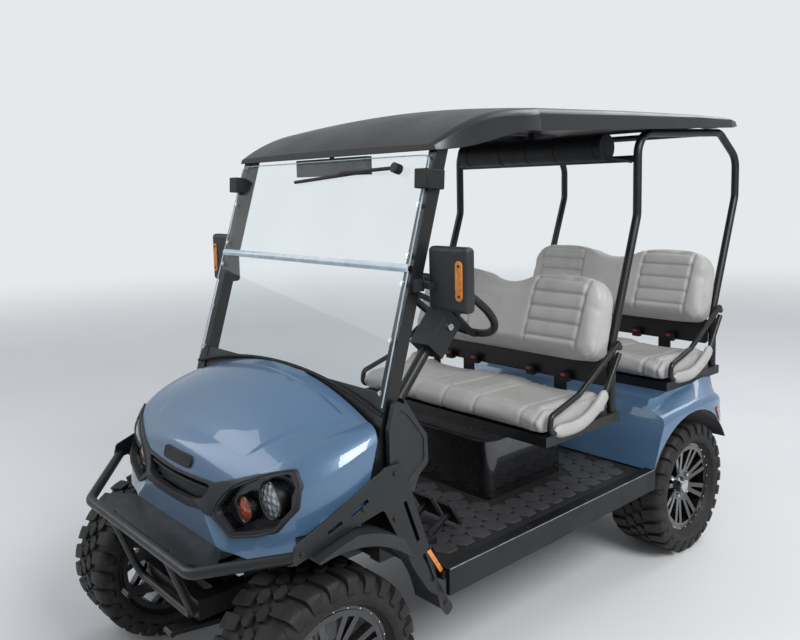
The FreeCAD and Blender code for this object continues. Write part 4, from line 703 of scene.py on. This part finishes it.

# The same rubber on the pads, rubbed smoother by feet, and paler than in the grooves as a painted highlight
# on the pads' tops
worn_and_lit_rubber, tree, shader, place = start_material("worn_and_lit_mat_rubber", {"Specular IOR Level": 0.4})
polish(tree, shader, place, 0.03, 0.45, 0.6)
# A paler tone than the grooves' rubber: a painted highlight on the pads' tops
skin = tint(tree, shader, place, "26272a", "313236", 0.15)
dust(tree, shader, place, skin, 1.4, 0.15)
grain = add(tree, "ShaderNodeTexNoise", {"Scale": MAT_GRAIN_PER_METRE, "Detail": 2.0}, {"Vector": place})
relief(tree, shader, grain.outputs["Fac"], 0.00015, 0.001)

corners = [math.tau * (i + 0.5) / 6 for i in range(6)]
bm = bmesh.new()
skin_loops(bm, [[Vector((math.cos(turn) * reach, math.sin(turn) * reach, z)) for turn in corners]
                for reach, z in HEX_PROFILE])
spots = []
mat_low, mat_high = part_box("floor_mat")
for row in range(-8, 9):
    for column in range(-1, 16):
        x = row * HEX_WIDTH * HEX_ROW_SHARE
        y = mat_low.y + HEX_START + (column + (row % 2) * 0.5) * HEX_WIDTH
        on_mat = abs(x) < MAT_HALF and mat_low.y + MAT_MARGIN < y < mat_high.y - MAT_MARGIN
        in_run = BASE_RUN[0] + AXLE_FRONT - HEX_ROOM < y < BASE_RUN[1] + AXLE_FRONT + HEX_ROOM
        if on_mat and (abs(x) > BASE_HALF or not in_run):
            spots.append(((x, y, MAT_TOP), (0.0, 0.0, 0.0)))
repeat("mat_hexagons", bm, spots, worn_and_lit_rubber, "chassis")

channel_low, channel_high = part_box("rockers")
for side, hand in SIDES:
    bm = bmesh.new()
    sweep(bm, [Vector((side * (channel_high.x - 0.0012), y, channel_high.z + 0.0002))
               for y in (channel_low.y + 0.004, 0.0, channel_high.y - 0.004)], EDGE_SECTION, (0, 0, 1))
    fit("channel_edge_" + hand, bm, trimmed_edge, "chassis")
bm = bmesh.new()
lathe(bm, [(0.0, 0.0), (0.0, 0.0065), (0.0015, 0.0062), (0.0022, 0.0035), (0.0012, 0.0028), (0.0012, 0.0)],
      (0, 0, 0), (0, 0, 1), steps=12)
spots = [((side * SCREW_X, AXLE_FRONT + y, channel_high.z), (0.0, 0.0, 0.0))
         for side, hand in SIDES for y in SCREW_STATIONS]
repeat("channel_screws", bm, spots, powder_coat, "chassis")

# Side guards
# Laser-cut steel plates bolted to the posts and to the floor with black bolts, with an amber reflector
# strip at the foot.
GUARD_FACE = 0.576
STRIP_FACES = (0.5762, 0.5790)
# Columns: distance behind the front axle, height
STRIP = ((0.352, 0.512), (0.366, 0.516), (0.418, 0.436), (0.406, 0.428))
GUARD_BOLTS = ((0.232, 0.652), (-0.090, 0.655), (0.118, 0.715), (0.430, 0.318), (0.236, 0.785))
PRISMS_PER_METRE = 330.0

# Amber acrylic with moulded prisms of 3 mm: glows orange under a glassy face
amber_reflector, tree, shader, place = start_material("amber_reflector", {
    "Coat Weight": 1.0, "Coat Roughness": 0.04, "Coat IOR": 1.49})
polish(tree, shader, place, 0.01, 0.2, 0.3)
tint(tree, shader, place, "c26a14", "e08a26", 0.02)
prisms = add(tree, "ShaderNodeTexVoronoi", {"Scale": PRISMS_PER_METRE, "Randomness": 0.0}, {"Vector": place})
relief(tree, shader, prisms.outputs["Distance"], 0.0008)


def plate(bm, outline, axis, low, high):
    """Adds a flat plate between two values of X or Y, with its outline in the other two."""
    order = {"X": lambda a, b, c: (c, a, b), "Y": lambda a, b, c: (a, c, b)}[axis]
    skin_loops(bm, [[Vector(order(a, b, value)) for a, b in outline] for value in (low, high)])


def bolt_head(bm, reach, steps=6):
    """Adds a bolt head 5 mm high with its washer, standing along Z."""
    up = (0, 0, 1)
    lathe(bm, [(0.0, 0.0), (0.0, reach * 1.35), (0.0014, reach * 1.35), (0.0014, 0.0)],
          (0, 0, 0), up, steps=18)
    lathe(bm, [(0.0014, 0.0), (0.0014, reach), (0.004, reach), (0.005, reach * 0.82), (0.005, 0.0)],
          (0, 0, 0), up, steps=steps)


for side, hand in SIDES:
    bm = bmesh.new()
    plate(bm, [(AXLE_FRONT + y, z) for y, z in STRIP], "X", *[side * face for face in STRIP_FACES])
    fit("guard_reflector_" + hand, bm, amber_reflector, "chassis", edge=0.0008)
bm = bmesh.new()
bolt_head(bm, 0.0075)
spots = [((side * GUARD_FACE, AXLE_FRONT + y, z), (0.0, side * math.pi / 2.0, 0.0))
         for side, hand in SIDES for y, z in GUARD_BOLTS]
repeat("guard_bolts", bm, spots, powder_coat, "chassis")

# Windshield
# Two clear polycarbonate sheets, hinged across a clear strip so that the top one folds down. The cut edges
# catch the light, the lower edge sits in a black rubber seal, and clamps hold the top to the posts.
SCREEN_FOOT = (0.222, 0.956)
SCREEN_HEAD = (0.449, 1.689)
SCREEN_SKIN = 0.004
# Columns: distance from the cart's middle, share of the screen's height
LOWER_EDGE = ((0.5385, 0.02), (0.533, 0.54))
UPPER_EDGE = ((0.5325, 0.56), (0.530, 0.8), (0.527, 0.965), (0.515, 0.99), (0.480, 0.998), (0.200, 0.999),
              (0.0, 0.999))
FOLD_SHARE = 0.55
FOLD_HALF = 0.531
FOLD_SECTION = [(-0.012, -0.002), (0.012, -0.002), (0.012, 0.0015), (0.003, 0.004), (-0.003, 0.004),
                (-0.012, 0.0015)]
CLAMP_SHARE = 0.905
CLAMP_FACES = (0.506, 0.562)
# Columns: distance behind the screen and above the clamp's middle
CLAMP = ((-0.032, -0.028), (0.040, -0.034), (0.044, 0.024), (-0.029, 0.030))
SCREEN_BOLT_X = 0.519
SCREEN_BOLTS = (0.07, 0.27, 0.49, 0.60, 0.80)
FILM_PER_METRE = 3.0
SAW_LINES_PER_METRE = 400.0

# Clear polycarbonate: seen straight through, with a faint mirror at a slant that wiping has left uneven
# over patches of 0.3 m
clear_screen = bpy.data.materials.new("clear_polycarbonate")
clear_screen.use_nodes = True
tree = clear_screen.node_tree
tree.nodes.remove(tree.nodes["Principled BSDF"])
place = add(tree, "ShaderNodeTexCoord").outputs["Object"]
through = add(tree, "ShaderNodeBsdfTransparent", {"Color": (0.93, 0.95, 0.955, 1.0)})
mirror_coat = add(tree, "ShaderNodeBsdfGlossy", {"Roughness": 0.02})
slant = add(tree, "ShaderNodeLayerWeight", {"Blend": 0.25})
film = add(tree, "ShaderNodeTexNoise", {"Scale": FILM_PER_METRE, "Detail": 2.0}, {"Vector": place})
share = add(tree, "ShaderNodeMapRange", {"To Min": 0.02, "To Max": 0.10}, {"Value": slant.outputs["Facing"]})
streak = add(tree, "ShaderNodeMath", None, {0: share.outputs["Result"], 1: film.outputs["Fac"]},
             operation="MULTIPLY")
sheet = add(tree, "ShaderNodeMixShader", None, {
    0: streak.outputs["Value"], 1: through.outputs["BSDF"], 2: mirror_coat.outputs["BSDF"]})
tree.links.new(sheet.outputs["Shader"], tree.nodes["Material Output"].inputs["Surface"])
dress(clear_screen, "clear_screen")

# Sawn and flamed polycarbonate edge: pale and cool, a painted highlight for the light that it gathers, with
# saw marks of 2.5 mm
screen_highlight, tree, shader, place = start_material("polycarbonate_highlight", {"Coat Weight": 1.0, "IOR": 1.58})
polish(tree, shader, place, 0.02, 0.15, 0.3)
tint(tree, shader, place, "8fa3b0", "a9bac5", 0.05)
saw = add(tree, "ShaderNodeTexNoise", {"Scale": SAW_LINES_PER_METRE}, {"Vector": place})
relief(tree, shader, saw.outputs["Fac"], 0.0001)


def smooth_line(points, steps=8):
    """A smooth open path through points."""
    first = 2.0 * Vector(points[0]) - Vector(points[1])
    last = 2.0 * Vector(points[-1]) - Vector(points[-2])
    spots = rounded([first, *points, last], steps)
    return spots[steps:-2 * steps + 1]


def on_screen(x, share, lift=0.0):
    """A point of the windshield from its share of the height, lifted off its front face."""
    y = SCREEN_FOOT[0] + (SCREEN_HEAD[0] - SCREEN_FOOT[0]) * share
    z = SCREEN_FOOT[1] + (SCREEN_HEAD[1] - SCREEN_FOOT[1]) * share
    run = Vector((0.0, SCREEN_HEAD[0] - SCREEN_FOOT[0], SCREEN_HEAD[1] - SCREEN_FOOT[1])).normalized()
    front = Vector((0.0, -run.z, run.y))
    return Vector((x, AXLE_FRONT + y, z)) + front * lift


# Beads along the sheets' edges, pale with the painted highlight
bead = oval(0.004, 0.005, 8)
bm = bmesh.new()
for side, hand in SIDES:
    lower = [on_screen(side * x, share, SCREEN_SKIN) for x, share in LOWER_EDGE]
    sweep(bm, lower, bead, (1, 0, 0))
    upper = [on_screen(side * x, share, SCREEN_SKIN) for x, share in UPPER_EDGE]
    sweep(bm, smooth_line(upper, 6), bead, (0, -1, 0.3))
fit("screen_edges", bm, screen_highlight, "chassis")
# The fold strip takes the same pale painted highlight
bm = bmesh.new()
fold = [on_screen(x, FOLD_SHARE, 0.006) for x in (-FOLD_HALF, FOLD_HALF)]
sweep(bm, fold, FOLD_SECTION, (0, -1, 0.3))
fit("screen_fold_strip", bm, screen_highlight, "chassis")

bm = bmesh.new()
for side, hand in SIDES:
    middle = on_screen(0.0, CLAMP_SHARE)
    outline = [(middle.y + back, middle.z + up) for back, up in CLAMP]
    plate(bm, outline, "X", *[side * face for face in CLAMP_FACES])
fit("screen_clamps", bm, black_moulding, "chassis", edge=0.003)
bm = bmesh.new()
bolt_head(bm, 0.0060, 16)
lean = math.pi / 2.0 - math.atan2(SCREEN_HEAD[0] - SCREEN_FOOT[0], SCREEN_HEAD[1] - SCREEN_FOOT[1])
spots = [(on_screen(side * SCREEN_BOLT_X, share, SCREEN_SKIN), (lean, 0.0, 0.0))
         for side, hand in SIDES for share in SCREEN_BOLTS]
repeat("screen_bolts", bm, spots, bright_zinc, "chassis")

# Roof
# One thermoformed shell of satin black plastic, its visor sweeping down over the screen, with a finely
# pebbled skin.
PEBBLES_PER_METRE = 420.0

# Thermoformed ABS: satin, with a broad even sheen on the top over pebbles of 2.4 mm
roof_shell, tree, shader, place = start_material("satin_roof_shell")
polish(tree, shader, place, 0.2, 0.28, 0.38)
tint(tree, shader, place, "131416", "1a1b1e", 0.7)
grain = add(tree, "ShaderNodeTexNoise", {"Scale": PEBBLES_PER_METRE, "Detail": 3.0}, {"Vector": place})
relief(tree, shader, grain.outputs["Fac"], 0.00008, 0.004)
dress(roof_shell, "roof_plastic")

# Sound bar
# Round black moulded bar under the roof, with clamp bands and thin stays to the posts.
BAR_CENTRE = (1.575, 1.738)
BAND_STATIONS = (-0.345, -0.150, 0.0, 0.150, 0.345)
BAND_PROFILE = [(-0.009, 0.0530), (-0.009, 0.0562), (0.009, 0.0562), (0.009, 0.0530)]
STAY = ((0.380, 1.560, 1.700), (0.470, 1.630, 1.676))

bm = bmesh.new()
for x in BAND_STATIONS:
    lathe(bm, BAND_PROFILE, (x, AXLE_FRONT + BAR_CENTRE[0], BAR_CENTRE[1]), (1, 0, 0), steps=40, ring=True)
for side, hand in SIDES:
    stay = [Vector((side * x, AXLE_FRONT + y, z)) for x, y, z in STAY]
    sweep(bm, stay, oval(0.009, 0.009, 10), (0, 0, 1))
fit("sound_bar_bands", bm, black_moulding, "chassis")

# Steering wheel and column
# Soft moulded grip on a steel ring, with a black hub cover, and a column in an angular black shroud that
# carries the key switch.
WHEEL_CENTRE = Vector((0.262, AXLE_FRONT + 0.792, 1.172))
COLUMN_TILT = math.radians(48.0)
COLUMN_WAY = Vector((0.0, math.cos(COLUMN_TILT), math.sin(COLUMN_TILT)))
KEY_DROP = 0.085
KEY_OUT = 0.047
HUB_PROFILE = [(0.004, 0.0), (0.004, 0.040), (0.014, 0.038), (0.021, 0.030), (0.023, 0.0)]
KEY_PROFILE = [(0.0, 0.0), (0.0, 0.013), (0.008, 0.013), (0.010, 0.0115), (0.010, 0.006), (0.007, 0.005),
               (0.007, 0.0)]
GRIP_PORES_PER_METRE = 1100.0

# Polyurethane foam skin: dark, dull and pored, with its pores drawn at 0.9 mm, coarser than real
soft_grip, tree, shader, place = start_material("soft_grip", {"Specular IOR Level": 0.4})
polish(tree, shader, place, 0.02, 0.42, 0.52)
tint(tree, shader, place, "101114", "18191c", 0.05)
grain = add(tree, "ShaderNodeTexVoronoi", {"Scale": GRIP_PORES_PER_METRE}, {"Vector": place})
relief(tree, shader, grain.outputs["Distance"], 0.0001, 0.003)
dress(soft_grip, "grip_rubber")

bm = bmesh.new()
lathe(bm, HUB_PROFILE, WHEEL_CENTRE, COLUMN_WAY, steps=40)
fit("hub_cover", bm, black_moulding, "steering_wheel")
bm = bmesh.new()
key_place = WHEEL_CENTRE - COLUMN_WAY * KEY_DROP + Vector((KEY_OUT, 0.0, 0.0))
lathe(bm, KEY_PROFILE, key_place, (1, 0, 0), steps=28)
fit("key_switch", bm, bright_zinc, "chassis")

# Mirror reflectors
# Upright amber acrylic strips, each held on its mirror by two black screws.
MIRROR_X = 0.688
MIRROR_Z = 1.329
STRIP_HALF_WIDTH = 0.0135
STRIP_HALF_RUN = 0.044
MIRROR_FACES = (AXLE_FRONT + 0.3920, AXLE_FRONT + 0.3885)
SCREW_HEIGHTS = (1.286, 1.372)

turns = [math.tau * (i + 0.5) / 24 for i in range(24)]
strip = [(MIRROR_X + STRIP_HALF_WIDTH * math.cos(t),
          MIRROR_Z + math.copysign(STRIP_HALF_RUN, math.sin(t)) + STRIP_HALF_WIDTH * math.sin(t))
         for t in turns]
for side, hand in SIDES:
    bm = bmesh.new()
    plate(bm, [(side * x, z) for x, z in strip], "Y", *MIRROR_FACES)
    fit("mirror_reflector_" + hand, bm, amber_reflector, "chassis", edge=0.0008)
bm = bmesh.new()
lathe(bm, [(0.0, 0.0), (0.0, 0.0042), (0.0016, 0.0040), (0.0022, 0.0)], (0, 0, 0), (0, -1, 0), steps=10)
spots = [((side * MIRROR_X, MIRROR_FACES[1], z), (0.0, 0.0, 0.0))
         for side, hand in SIDES for z in SCREW_HEIGHTS]
repeat("mirror_screws", bm, spots, black_moulding, "chassis")

# Seats
# Foam on a plywood board under light warm-grey grained vinyl, seamed along the side panels. Each back has
# two humps with six sewn channels between two seams, and each cushion two dished seats with a rolled front.
ROW_STEP = Vector((0.0, 0.840, 0.045))
BACK_LEAN = math.radians(18.0)
BACK_FOOT = Vector((0.0, AXLE_FRONT + 1.306, 0.915))
BACK_UP = Vector((0.0, math.sin(BACK_LEAN), math.cos(BACK_LEAN)))
BACK_IN = Vector((0.0, math.cos(BACK_LEAN), -math.sin(BACK_LEAN)))
# Heights up the back of the lines between its channels, and of the first and last channel's ends
CHANNELS = (0.072, 0.133, 0.194, 0.255, 0.314)
CHANNEL_ENDS = (0.012, *CHANNELS, 0.375)
# Columns: a back seam's distance from the cart's middle at its foot, and its spread for each metre up
INNER_SEAM = (0.158, 0.05)
OUTER_SEAM = (0.412, 0.045)
BACK_PANEL_SEAM = 0.030
CUSHION_MIDDLE = AXLE_FRONT + 0.975
# Distances of a cushion's dishes and seams from the cart's middle
DISH = (0.120, 0.440)
BOLSTER_SEAMS = (0.165, 0.398)
SIDE_SEAM = 0.470
# Distance of its cross seam behind its middle, and height of its side panel's seam
CROSS_SEAM = 0.105
CUSHION_PANEL_SEAM = 0.758
BOARD_TOP = 0.712
BOARD_DEPTH = 0.088
SHRINK = 0.009
VOXEL = 0.007
PRESSURE = 4.0
STIFFNESS = 60.0
CLOTH_STEPS = 14
EVENINGS = 14
VINYL_PORES_PER_METRE = 620.0
FOLDS_PER_METRE = 22.0

# Grained vinyl on foam: soft wide highlights, pores of 1.6 mm and slow folds about 45 mm apart
grey_vinyl, tree, shader, place = start_material("grained_vinyl", {
    "Specular IOR Level": 0.45, "Sheen Weight": 0.06, "Sheen Roughness": 0.5})
polish(tree, shader, place, 0.02, 0.40, 0.52)
tint(tree, shader, place, "a3a19f", "adaba9", 0.12)
pores = add(tree, "ShaderNodeTexVoronoi", {"Scale": VINYL_PORES_PER_METRE}, {"Vector": place},
            feature="SMOOTH_F1")
folds = add(tree, "ShaderNodeTexNoise", {"Scale": FOLDS_PER_METRE, "Detail": 5.0}, {"Vector": place})
scales = add(tree, "ShaderNodeMath", {1: 7.0}, {0: folds.outputs["Fac"], 2: pores.outputs["Distance"]},
             operation="MULTIPLY_ADD")
relief(tree, shader, scales.outputs["Value"], 0.0002)
dress(grey_vinyl, "grey_vinyl")


def puffed(node, name, limit, held):
    """A padded copy of a CAD solid: shrunk, remeshed, blown up as cloth by a limit, and evened out."""
    mesh = frame["nodes"][node].data.copy()
    bm = bmesh.new()
    bm.from_mesh(mesh)
    bmesh.ops.remove_doubles(bm, verts=bm.verts, dist=1e-5)
    low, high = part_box(node)
    middle = (low + high) / 2.0
    size = high - low
    for vert in bm.verts:
        vert.co = middle + Vector([(vert.co[k] - middle[k]) * (1.0 - 2.0 * SHRINK / size[k])
                                   for k in range(3)])
    bm.to_mesh(mesh)
    bm.free()
    piece = bpy.data.objects.new(name, mesh)
    scene.collection.objects.link(piece)
    fine = piece.modifiers.new("fine", "REMESH")
    fine.mode = "VOXEL"
    fine.voxel_size = VOXEL
    fine.use_smooth_shade = True
    even = piece.modifiers.new("even", "SMOOTH")
    even.factor = 0.6
    even.iterations = 6
    view_layer = bpy.context.evaluated_depsgraph_get()
    start = bpy.data.meshes.new_from_object(piece.evaluated_get(view_layer))
    piece.modifiers.clear()
    piece.data = start
    group = piece.vertex_groups.new(name="held")
    group.add([v.index for v in start.vertices if held(v.co)], 1.0, "REPLACE")
    cloth = piece.modifiers.new("cloth", "CLOTH")
    cloth.settings.vertex_group_mass = "held"
    cloth.settings.use_pressure = True
    cloth.settings.uniform_pressure_force = PRESSURE
    cloth.settings.effector_weights.gravity = 0.0
    cloth.settings.tension_stiffness = STIFFNESS
    cloth.settings.compression_stiffness = STIFFNESS
    for step in range(1, CLOTH_STEPS + 1):
        scene.frame_set(step)
    view_layer = bpy.context.evaluated_depsgraph_get()
    blown = piece.evaluated_get(view_layer).to_mesh()
    grown = [v.co.copy() for v in blown.vertices]
    piece.modifiers.clear()
    for vert, spot in zip(start.vertices, grown):
        move = spot - vert.co
        if move.length > limit:
            move *= limit / move.length
        vert.co = vert.co + move
    scene.frame_set(1)
    bm = bmesh.new()
    bm.from_mesh(start)
    for step in range(EVENINGS):
        bmesh.ops.smooth_vert(bm, verts=bm.verts, factor=0.5,
                              use_axis_x=True, use_axis_y=True, use_axis_z=True)
    bm.to_mesh(start)
    bm.free()
    return piece


def near(value, line, width):
    """1 on a seam line, fading to 0 at a width from it."""
    gap = abs(value - line) / width
    return 0.0 if gap >= 1.0 else (1.0 - gap * gap) ** 2


def swell(value, low, high):
    """Rises from 0 at low and high to 1 midway, as a stuffed channel does."""
    if not low < value < high:
        return 0.0
    return math.sin(math.pi * (value - low) / (high - low)) ** 0.6


def sewn(piece, depth_at):
    """Moves each point of a padded piece along its normal by a depth in metres."""
    normals = [v.normal.copy() for v in piece.data.vertices]
    moves = [normal * depth_at(v.co, normal) for v, normal in zip(piece.data.vertices, normals)]
    for vert, move in zip(piece.data.vertices, moves):
        vert.co = vert.co + move


def back_depth(spot, normal):
    """Channels, insert seams and the side panel's seam of a seat back."""
    offset = spot - BACK_FOOT
    up = offset.dot(BACK_UP)
    inward = offset.dot(BACK_IN)
    across = abs(spot.x)
    depth = 0.0
    facing = max(0.0, -normal.dot(BACK_IN))
    if facing > 0.25:
        inner = INNER_SEAM[0] + INNER_SEAM[1] * up
        outer = OUTER_SEAM[0] + OUTER_SEAM[1] * up
        fade = min(1.0, max(0.0, (up - 0.02) / 0.03))
        depth -= 0.0075 * fade * max(near(across, inner, 0.011), near(across, outer, 0.011))
        if inner < across < outer:
            for low, high in zip(CHANNEL_ENDS, CHANNEL_ENDS[1:]):
                depth += 0.0055 * swell(up, low, high)
            depth -= 0.004 + 0.004 * max(near(up, line, 0.010) for line in CHANNELS)
        depth *= min(1.0, (facing - 0.25) / 0.35)
    seam = near(inward, BACK_PANEL_SEAM, 0.008) if abs(normal.x) > 0.35 and across > 0.40 else 0.0
    return depth - 0.005 * seam


def cushion_depth(spot, normal):
    """Two dished seats, their bolster seams and the side panel's seam of a cushion."""
    across = abs(spot.x)
    back = spot.y - CUSHION_MIDDLE
    if normal.z < 0.2 and normal.y > -0.2:
        return -0.004 * near(spot.z, CUSHION_PANEL_SEAM, 0.008) if abs(normal.x) > 0.5 else 0.0
    depth = -0.015 * swell(across, *DISH) * (1.0 if back > 0.05 else 0.6)
    bolsters = sum(near(across, line, 0.012) for line in BOLSTER_SEAMS)
    depth -= 0.006 * bolsters + 0.008 * near(across, 0.0, 0.014)
    depth -= 0.005 * near(across, SIDE_SEAM, 0.009)
    return depth - 0.004 * near(back, CROSS_SEAM, 0.014) * (1.0 if across < 0.40 else 0.0)


def on_board(spot):
    """True for a cushion's points that lie on its board."""
    return spot.z < BOARD_TOP


def against_board(spot):
    """True for a back's points that lie against its board."""
    return (spot - BACK_FOOT).dot(BACK_IN) > BOARD_DEPTH


# Columns: kind of pad, its held points, its seams, the most that it swells
for kind, held, depth_at, limit in (("cushion", on_board, cushion_depth, 0.012),
                                    ("back", against_board, back_depth, 0.014)):
    piece = puffed("front_seat_" + kind, "padded_" + kind + "_front", limit, held)
    sewn(piece, depth_at)
    piece.data.materials.clear()
    piece.data.materials.append(grey_vinyl)
    twin = bpy.data.objects.new("padded_" + kind + "_rear", piece.data.copy())
    scene.collection.objects.link(twin)
    twin.data.transform(Matrix.Translation(ROW_STEP))
    for seat, row in ((piece, "front"), (twin, "rear")):
        seat.data.polygons.foreach_set("use_smooth", [True] * len(seat.data.polygons))
        finer = seat.modifiers.new("finer", "SUBSURF")
        finer.levels = 1
        finer.render_levels = 1
        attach(seat, "chassis")
        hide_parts(row + "_seat_" + kind)

# Hip restraint pads
# Foam strips in the seats' vinyl, sleeved on the lower run of each hip restraint tube.
ROWS = (("front", Vector((0.0, 0.0, 0.0))), ("rear", ROW_STEP))
PAD_X = 0.529
# Columns: distance behind the front axle, height
PAD_RUN = [(1.040, 0.712), (1.110, 0.703), (1.195, 0.704), (1.270, 0.728), (1.335, 0.766), (1.362, 0.800)]
PAD_HALF_WIDTH = 0.0165
PAD_HALF_HEIGHT = 0.025
END_STEPS = 5.0

round_turns = [math.tau * (k + 0.5) / 20 for k in range(20)]
for row, shift in ROWS:
    for side, hand in SIDES:
        path = smooth_line([Vector((side * PAD_X, AXLE_FRONT + y, z)) + shift for y, z in PAD_RUN])
        loops = []
        for i, spot in enumerate(path):
            end = min(1.0, min(i, len(path) - 1 - i) / END_STEPS)
            plump = math.sqrt(max(0.06, 1.0 - (1.0 - end) ** 2))
            ahead = (path[min(i + 1, len(path) - 1)] - path[max(i - 1, 0)]).normalized()
            above = Vector((side, 0.0, 0.0)).cross(ahead).normalized()
            loops.append([spot + Vector((PAD_HALF_WIDTH * plump * math.cos(t), 0.0, 0.0))
                          + above * PAD_HALF_HEIGHT * plump * math.sin(t) for t in round_turns])
        bm = bmesh.new()
        skin_loops(bm, loops)
        pad = fit("hip_pad_" + row + "_" + hand, bm, grey_vinyl, "chassis")

# Seat belts and belt panel
# Black moulded buckles with red push buttons on short stalks, in front of a black steel panel that the
# belts bolt to.
PANEL_FRONT = AXLE_FRONT + 1.436
PANEL_THICK = 0.004
PANEL = ((-0.47, 0.795), (0.47, 0.795), (0.482, 0.806), (0.482, 0.900), (0.47, 0.912), (-0.47, 0.912),
         (-0.482, 0.900), (-0.482, 0.806))
BUCKLE_Y = AXLE_FRONT + 1.412
BUCKLE_Z = 0.818
BUCKLE_STATIONS = (-0.36, -0.20, 0.12, 0.30)
BUTTON_GRAIN_PER_METRE = 900.0

# Moulded red polypropylene button: flat bright red with a dull skin, drawn at 1.1 mm, coarser than real
red_button, tree, shader, place = start_material("red_button")
polish(tree, shader, place, 0.01, 0.35, 0.45)
tint(tree, shader, place, "a3141e", "b51e28", 0.01)
grain = add(tree, "ShaderNodeTexNoise", {"Scale": BUTTON_GRAIN_PER_METRE}, {"Vector": place})
relief(tree, shader, grain.outputs["Fac"], 0.00005)


def brick(bm, x, half, low, high, front, back):
    """Adds a square block round a station across the cart, between two heights and two depths."""
    plate(bm, [(x - half, low), (x + half, low), (x + half, high), (x - half, high)], "Y", front, back)


for row, shift in ROWS:
    bm = bmesh.new()
    front = PANEL_FRONT + shift.y
    plate(bm, [(x, z + shift.z) for x, z in PANEL], "Y", front, front + PANEL_THICK)
    fit("belt_panel_" + row, bm, powder_coat, "chassis", edge=0.001)
    bm = bmesh.new()
    buttons = bmesh.new()
    y = BUCKLE_Y + shift.y
    z = BUCKLE_Z + shift.z
    for x in BUCKLE_STATIONS:
        brick(bm, x, 0.025, z - 0.012, z + 0.012, y - 0.009, y + 0.009)
        brick(bm, x, 0.021, z - 0.030, z - 0.011, y - 0.001, y + 0.026)
        brick(buttons, x, 0.010, z - 0.006, z + 0.006, y - 0.0105, y - 0.008)
    fit("buckles_" + row, bm, black_moulding, "chassis", edge=0.004)
    fit("buckle_buttons_" + row, buttons, red_button, "chassis", edge=0.001)

# Floor, light and camera
# A plain pale studio floor that runs out to a pale backdrop, three soft lamps, and the camera at the
# photographer's eye, in front of the left headlamp and above the hood.
FLOOR_SIZE = 60.0
BACKDROP = "e6e9ec"
FADE_NEAR = 3.0
FADE_FAR = 14.0
SKY = (0.86, 0.90, 0.95, 1.0)
SKY_STRENGTH = 0.60
# Columns: place, size, power
LAMPS_OVER = (((4.5, -0.5, 4.6), 2.4, 270.0), ((-3.5, -3.5, 3.6), 3.0, 60.0), ((0.5, 4.5, 4.8), 3.0, 95.0))
LIT_POINT = Vector((0.0, 0.0, 0.8))
EYE = Vector((2.18732, -2.27804, 1.59077))
CAMERA_TURN = math.radians(48.08)
CAMERA_LIFT = math.radians(-6.25)
CAMERA_ROLL = math.radians(-1.28)
PICTURE_WIDTH = 800.0
FOCAL_PIXELS = 778.55
SHIFT_PIXELS = (0.09, -45.97)
SENSOR = 36.0

bpy.ops.mesh.primitive_plane_add(size=FLOOR_SIZE)
floor = bpy.context.object
floor.name = "studio_floor"
# Matt floor paint: pale and even, keeps the shadow, and fades into the backdrop for the camera alone
floor_paint, tree, shader, place = start_material("studio_floor_paint", {"Specular IOR Level": 0.1})
polish(tree, shader, place, 0.5, 0.8, 0.9)
tint(tree, shader, place, "d4d5d6", "d8d9da", 1.5)
away = add(tree, "ShaderNodeVectorMath", None, {0: place}, operation="LENGTH")
far = add(tree, "ShaderNodeMapRange", {"From Min": FADE_NEAR, "From Max": FADE_FAR},
          {"Value": away.outputs["Value"]}, interpolation_type="SMOOTHSTEP")
seen = add(tree, "ShaderNodeLightPath")
share = add(tree, "ShaderNodeMath", None, {0: far.outputs["Result"], 1: seen.outputs["Is Camera Ray"]},
            operation="MULTIPLY")
haze = add(tree, "ShaderNodeEmission", {"Color": lin(BACKDROP), "Strength": 1.0})
ground = add(tree, "ShaderNodeMixShader", None, {
    0: share.outputs["Value"], 1: shader.outputs["BSDF"], 2: haze.outputs["Emission"]})
tree.links.new(ground.outputs["Shader"], tree.nodes["Material Output"].inputs["Surface"])
floor.data.materials.append(floor_paint)

world = bpy.data.worlds.new("studio")
scene.world = world
world.use_nodes = True
tree = world.node_tree
sky = tree.nodes["Background"]
sky.inputs["Color"].default_value = SKY
sky.inputs["Strength"].default_value = SKY_STRENGTH
backdrop = add(tree, "ShaderNodeBackground", {"Color": lin(BACKDROP), "Strength": 1.0})
seen = add(tree, "ShaderNodeLightPath")
either = add(tree, "ShaderNodeMixShader", None, {
    0: seen.outputs["Is Camera Ray"], 1: sky.outputs["Background"], 2: backdrop.outputs["Background"]})
tree.links.new(either.outputs["Shader"], tree.nodes["World Output"].inputs["Surface"])

for spot, size, power in LAMPS_OVER:
    lamp = bpy.data.lights.new("softbox", "AREA")
    lamp.size = size
    lamp.energy = power
    holder = bpy.data.objects.new("softbox", lamp)
    scene.collection.objects.link(holder)
    holder.location = spot
    holder.rotation_euler = (LIT_POINT - Vector(spot)).to_track_quat("-Z", "Y").to_euler()

lens = bpy.data.cameras.new("camera")
camera = bpy.data.objects.new("camera", lens)
scene.collection.objects.link(camera)
scene.camera = camera
ahead = Vector((-math.sin(CAMERA_TURN) * math.cos(CAMERA_LIFT), math.cos(CAMERA_TURN) * math.cos(CAMERA_LIFT),
                math.sin(CAMERA_LIFT)))
level = Vector((math.cos(CAMERA_TURN), math.sin(CAMERA_TURN), 0.0))
upright = level.cross(ahead)
across = level * math.cos(CAMERA_ROLL) + upright * math.sin(CAMERA_ROLL)
above = upright * math.cos(CAMERA_ROLL) - level * math.sin(CAMERA_ROLL)
pose = Matrix((across, above, -ahead)).transposed().to_4x4()
pose.translation = EYE
camera.matrix_world = pose
lens.sensor_width = SENSOR
lens.lens = FOCAL_PIXELS * SENSOR / PICTURE_WIDTH
lens.shift_x = SHIFT_PIXELS[0] / PICTURE_WIDTH
lens.shift_y = SHIFT_PIXELS[1] / PICTURE_WIDTH

scene.view_settings.view_transform = "Standard"
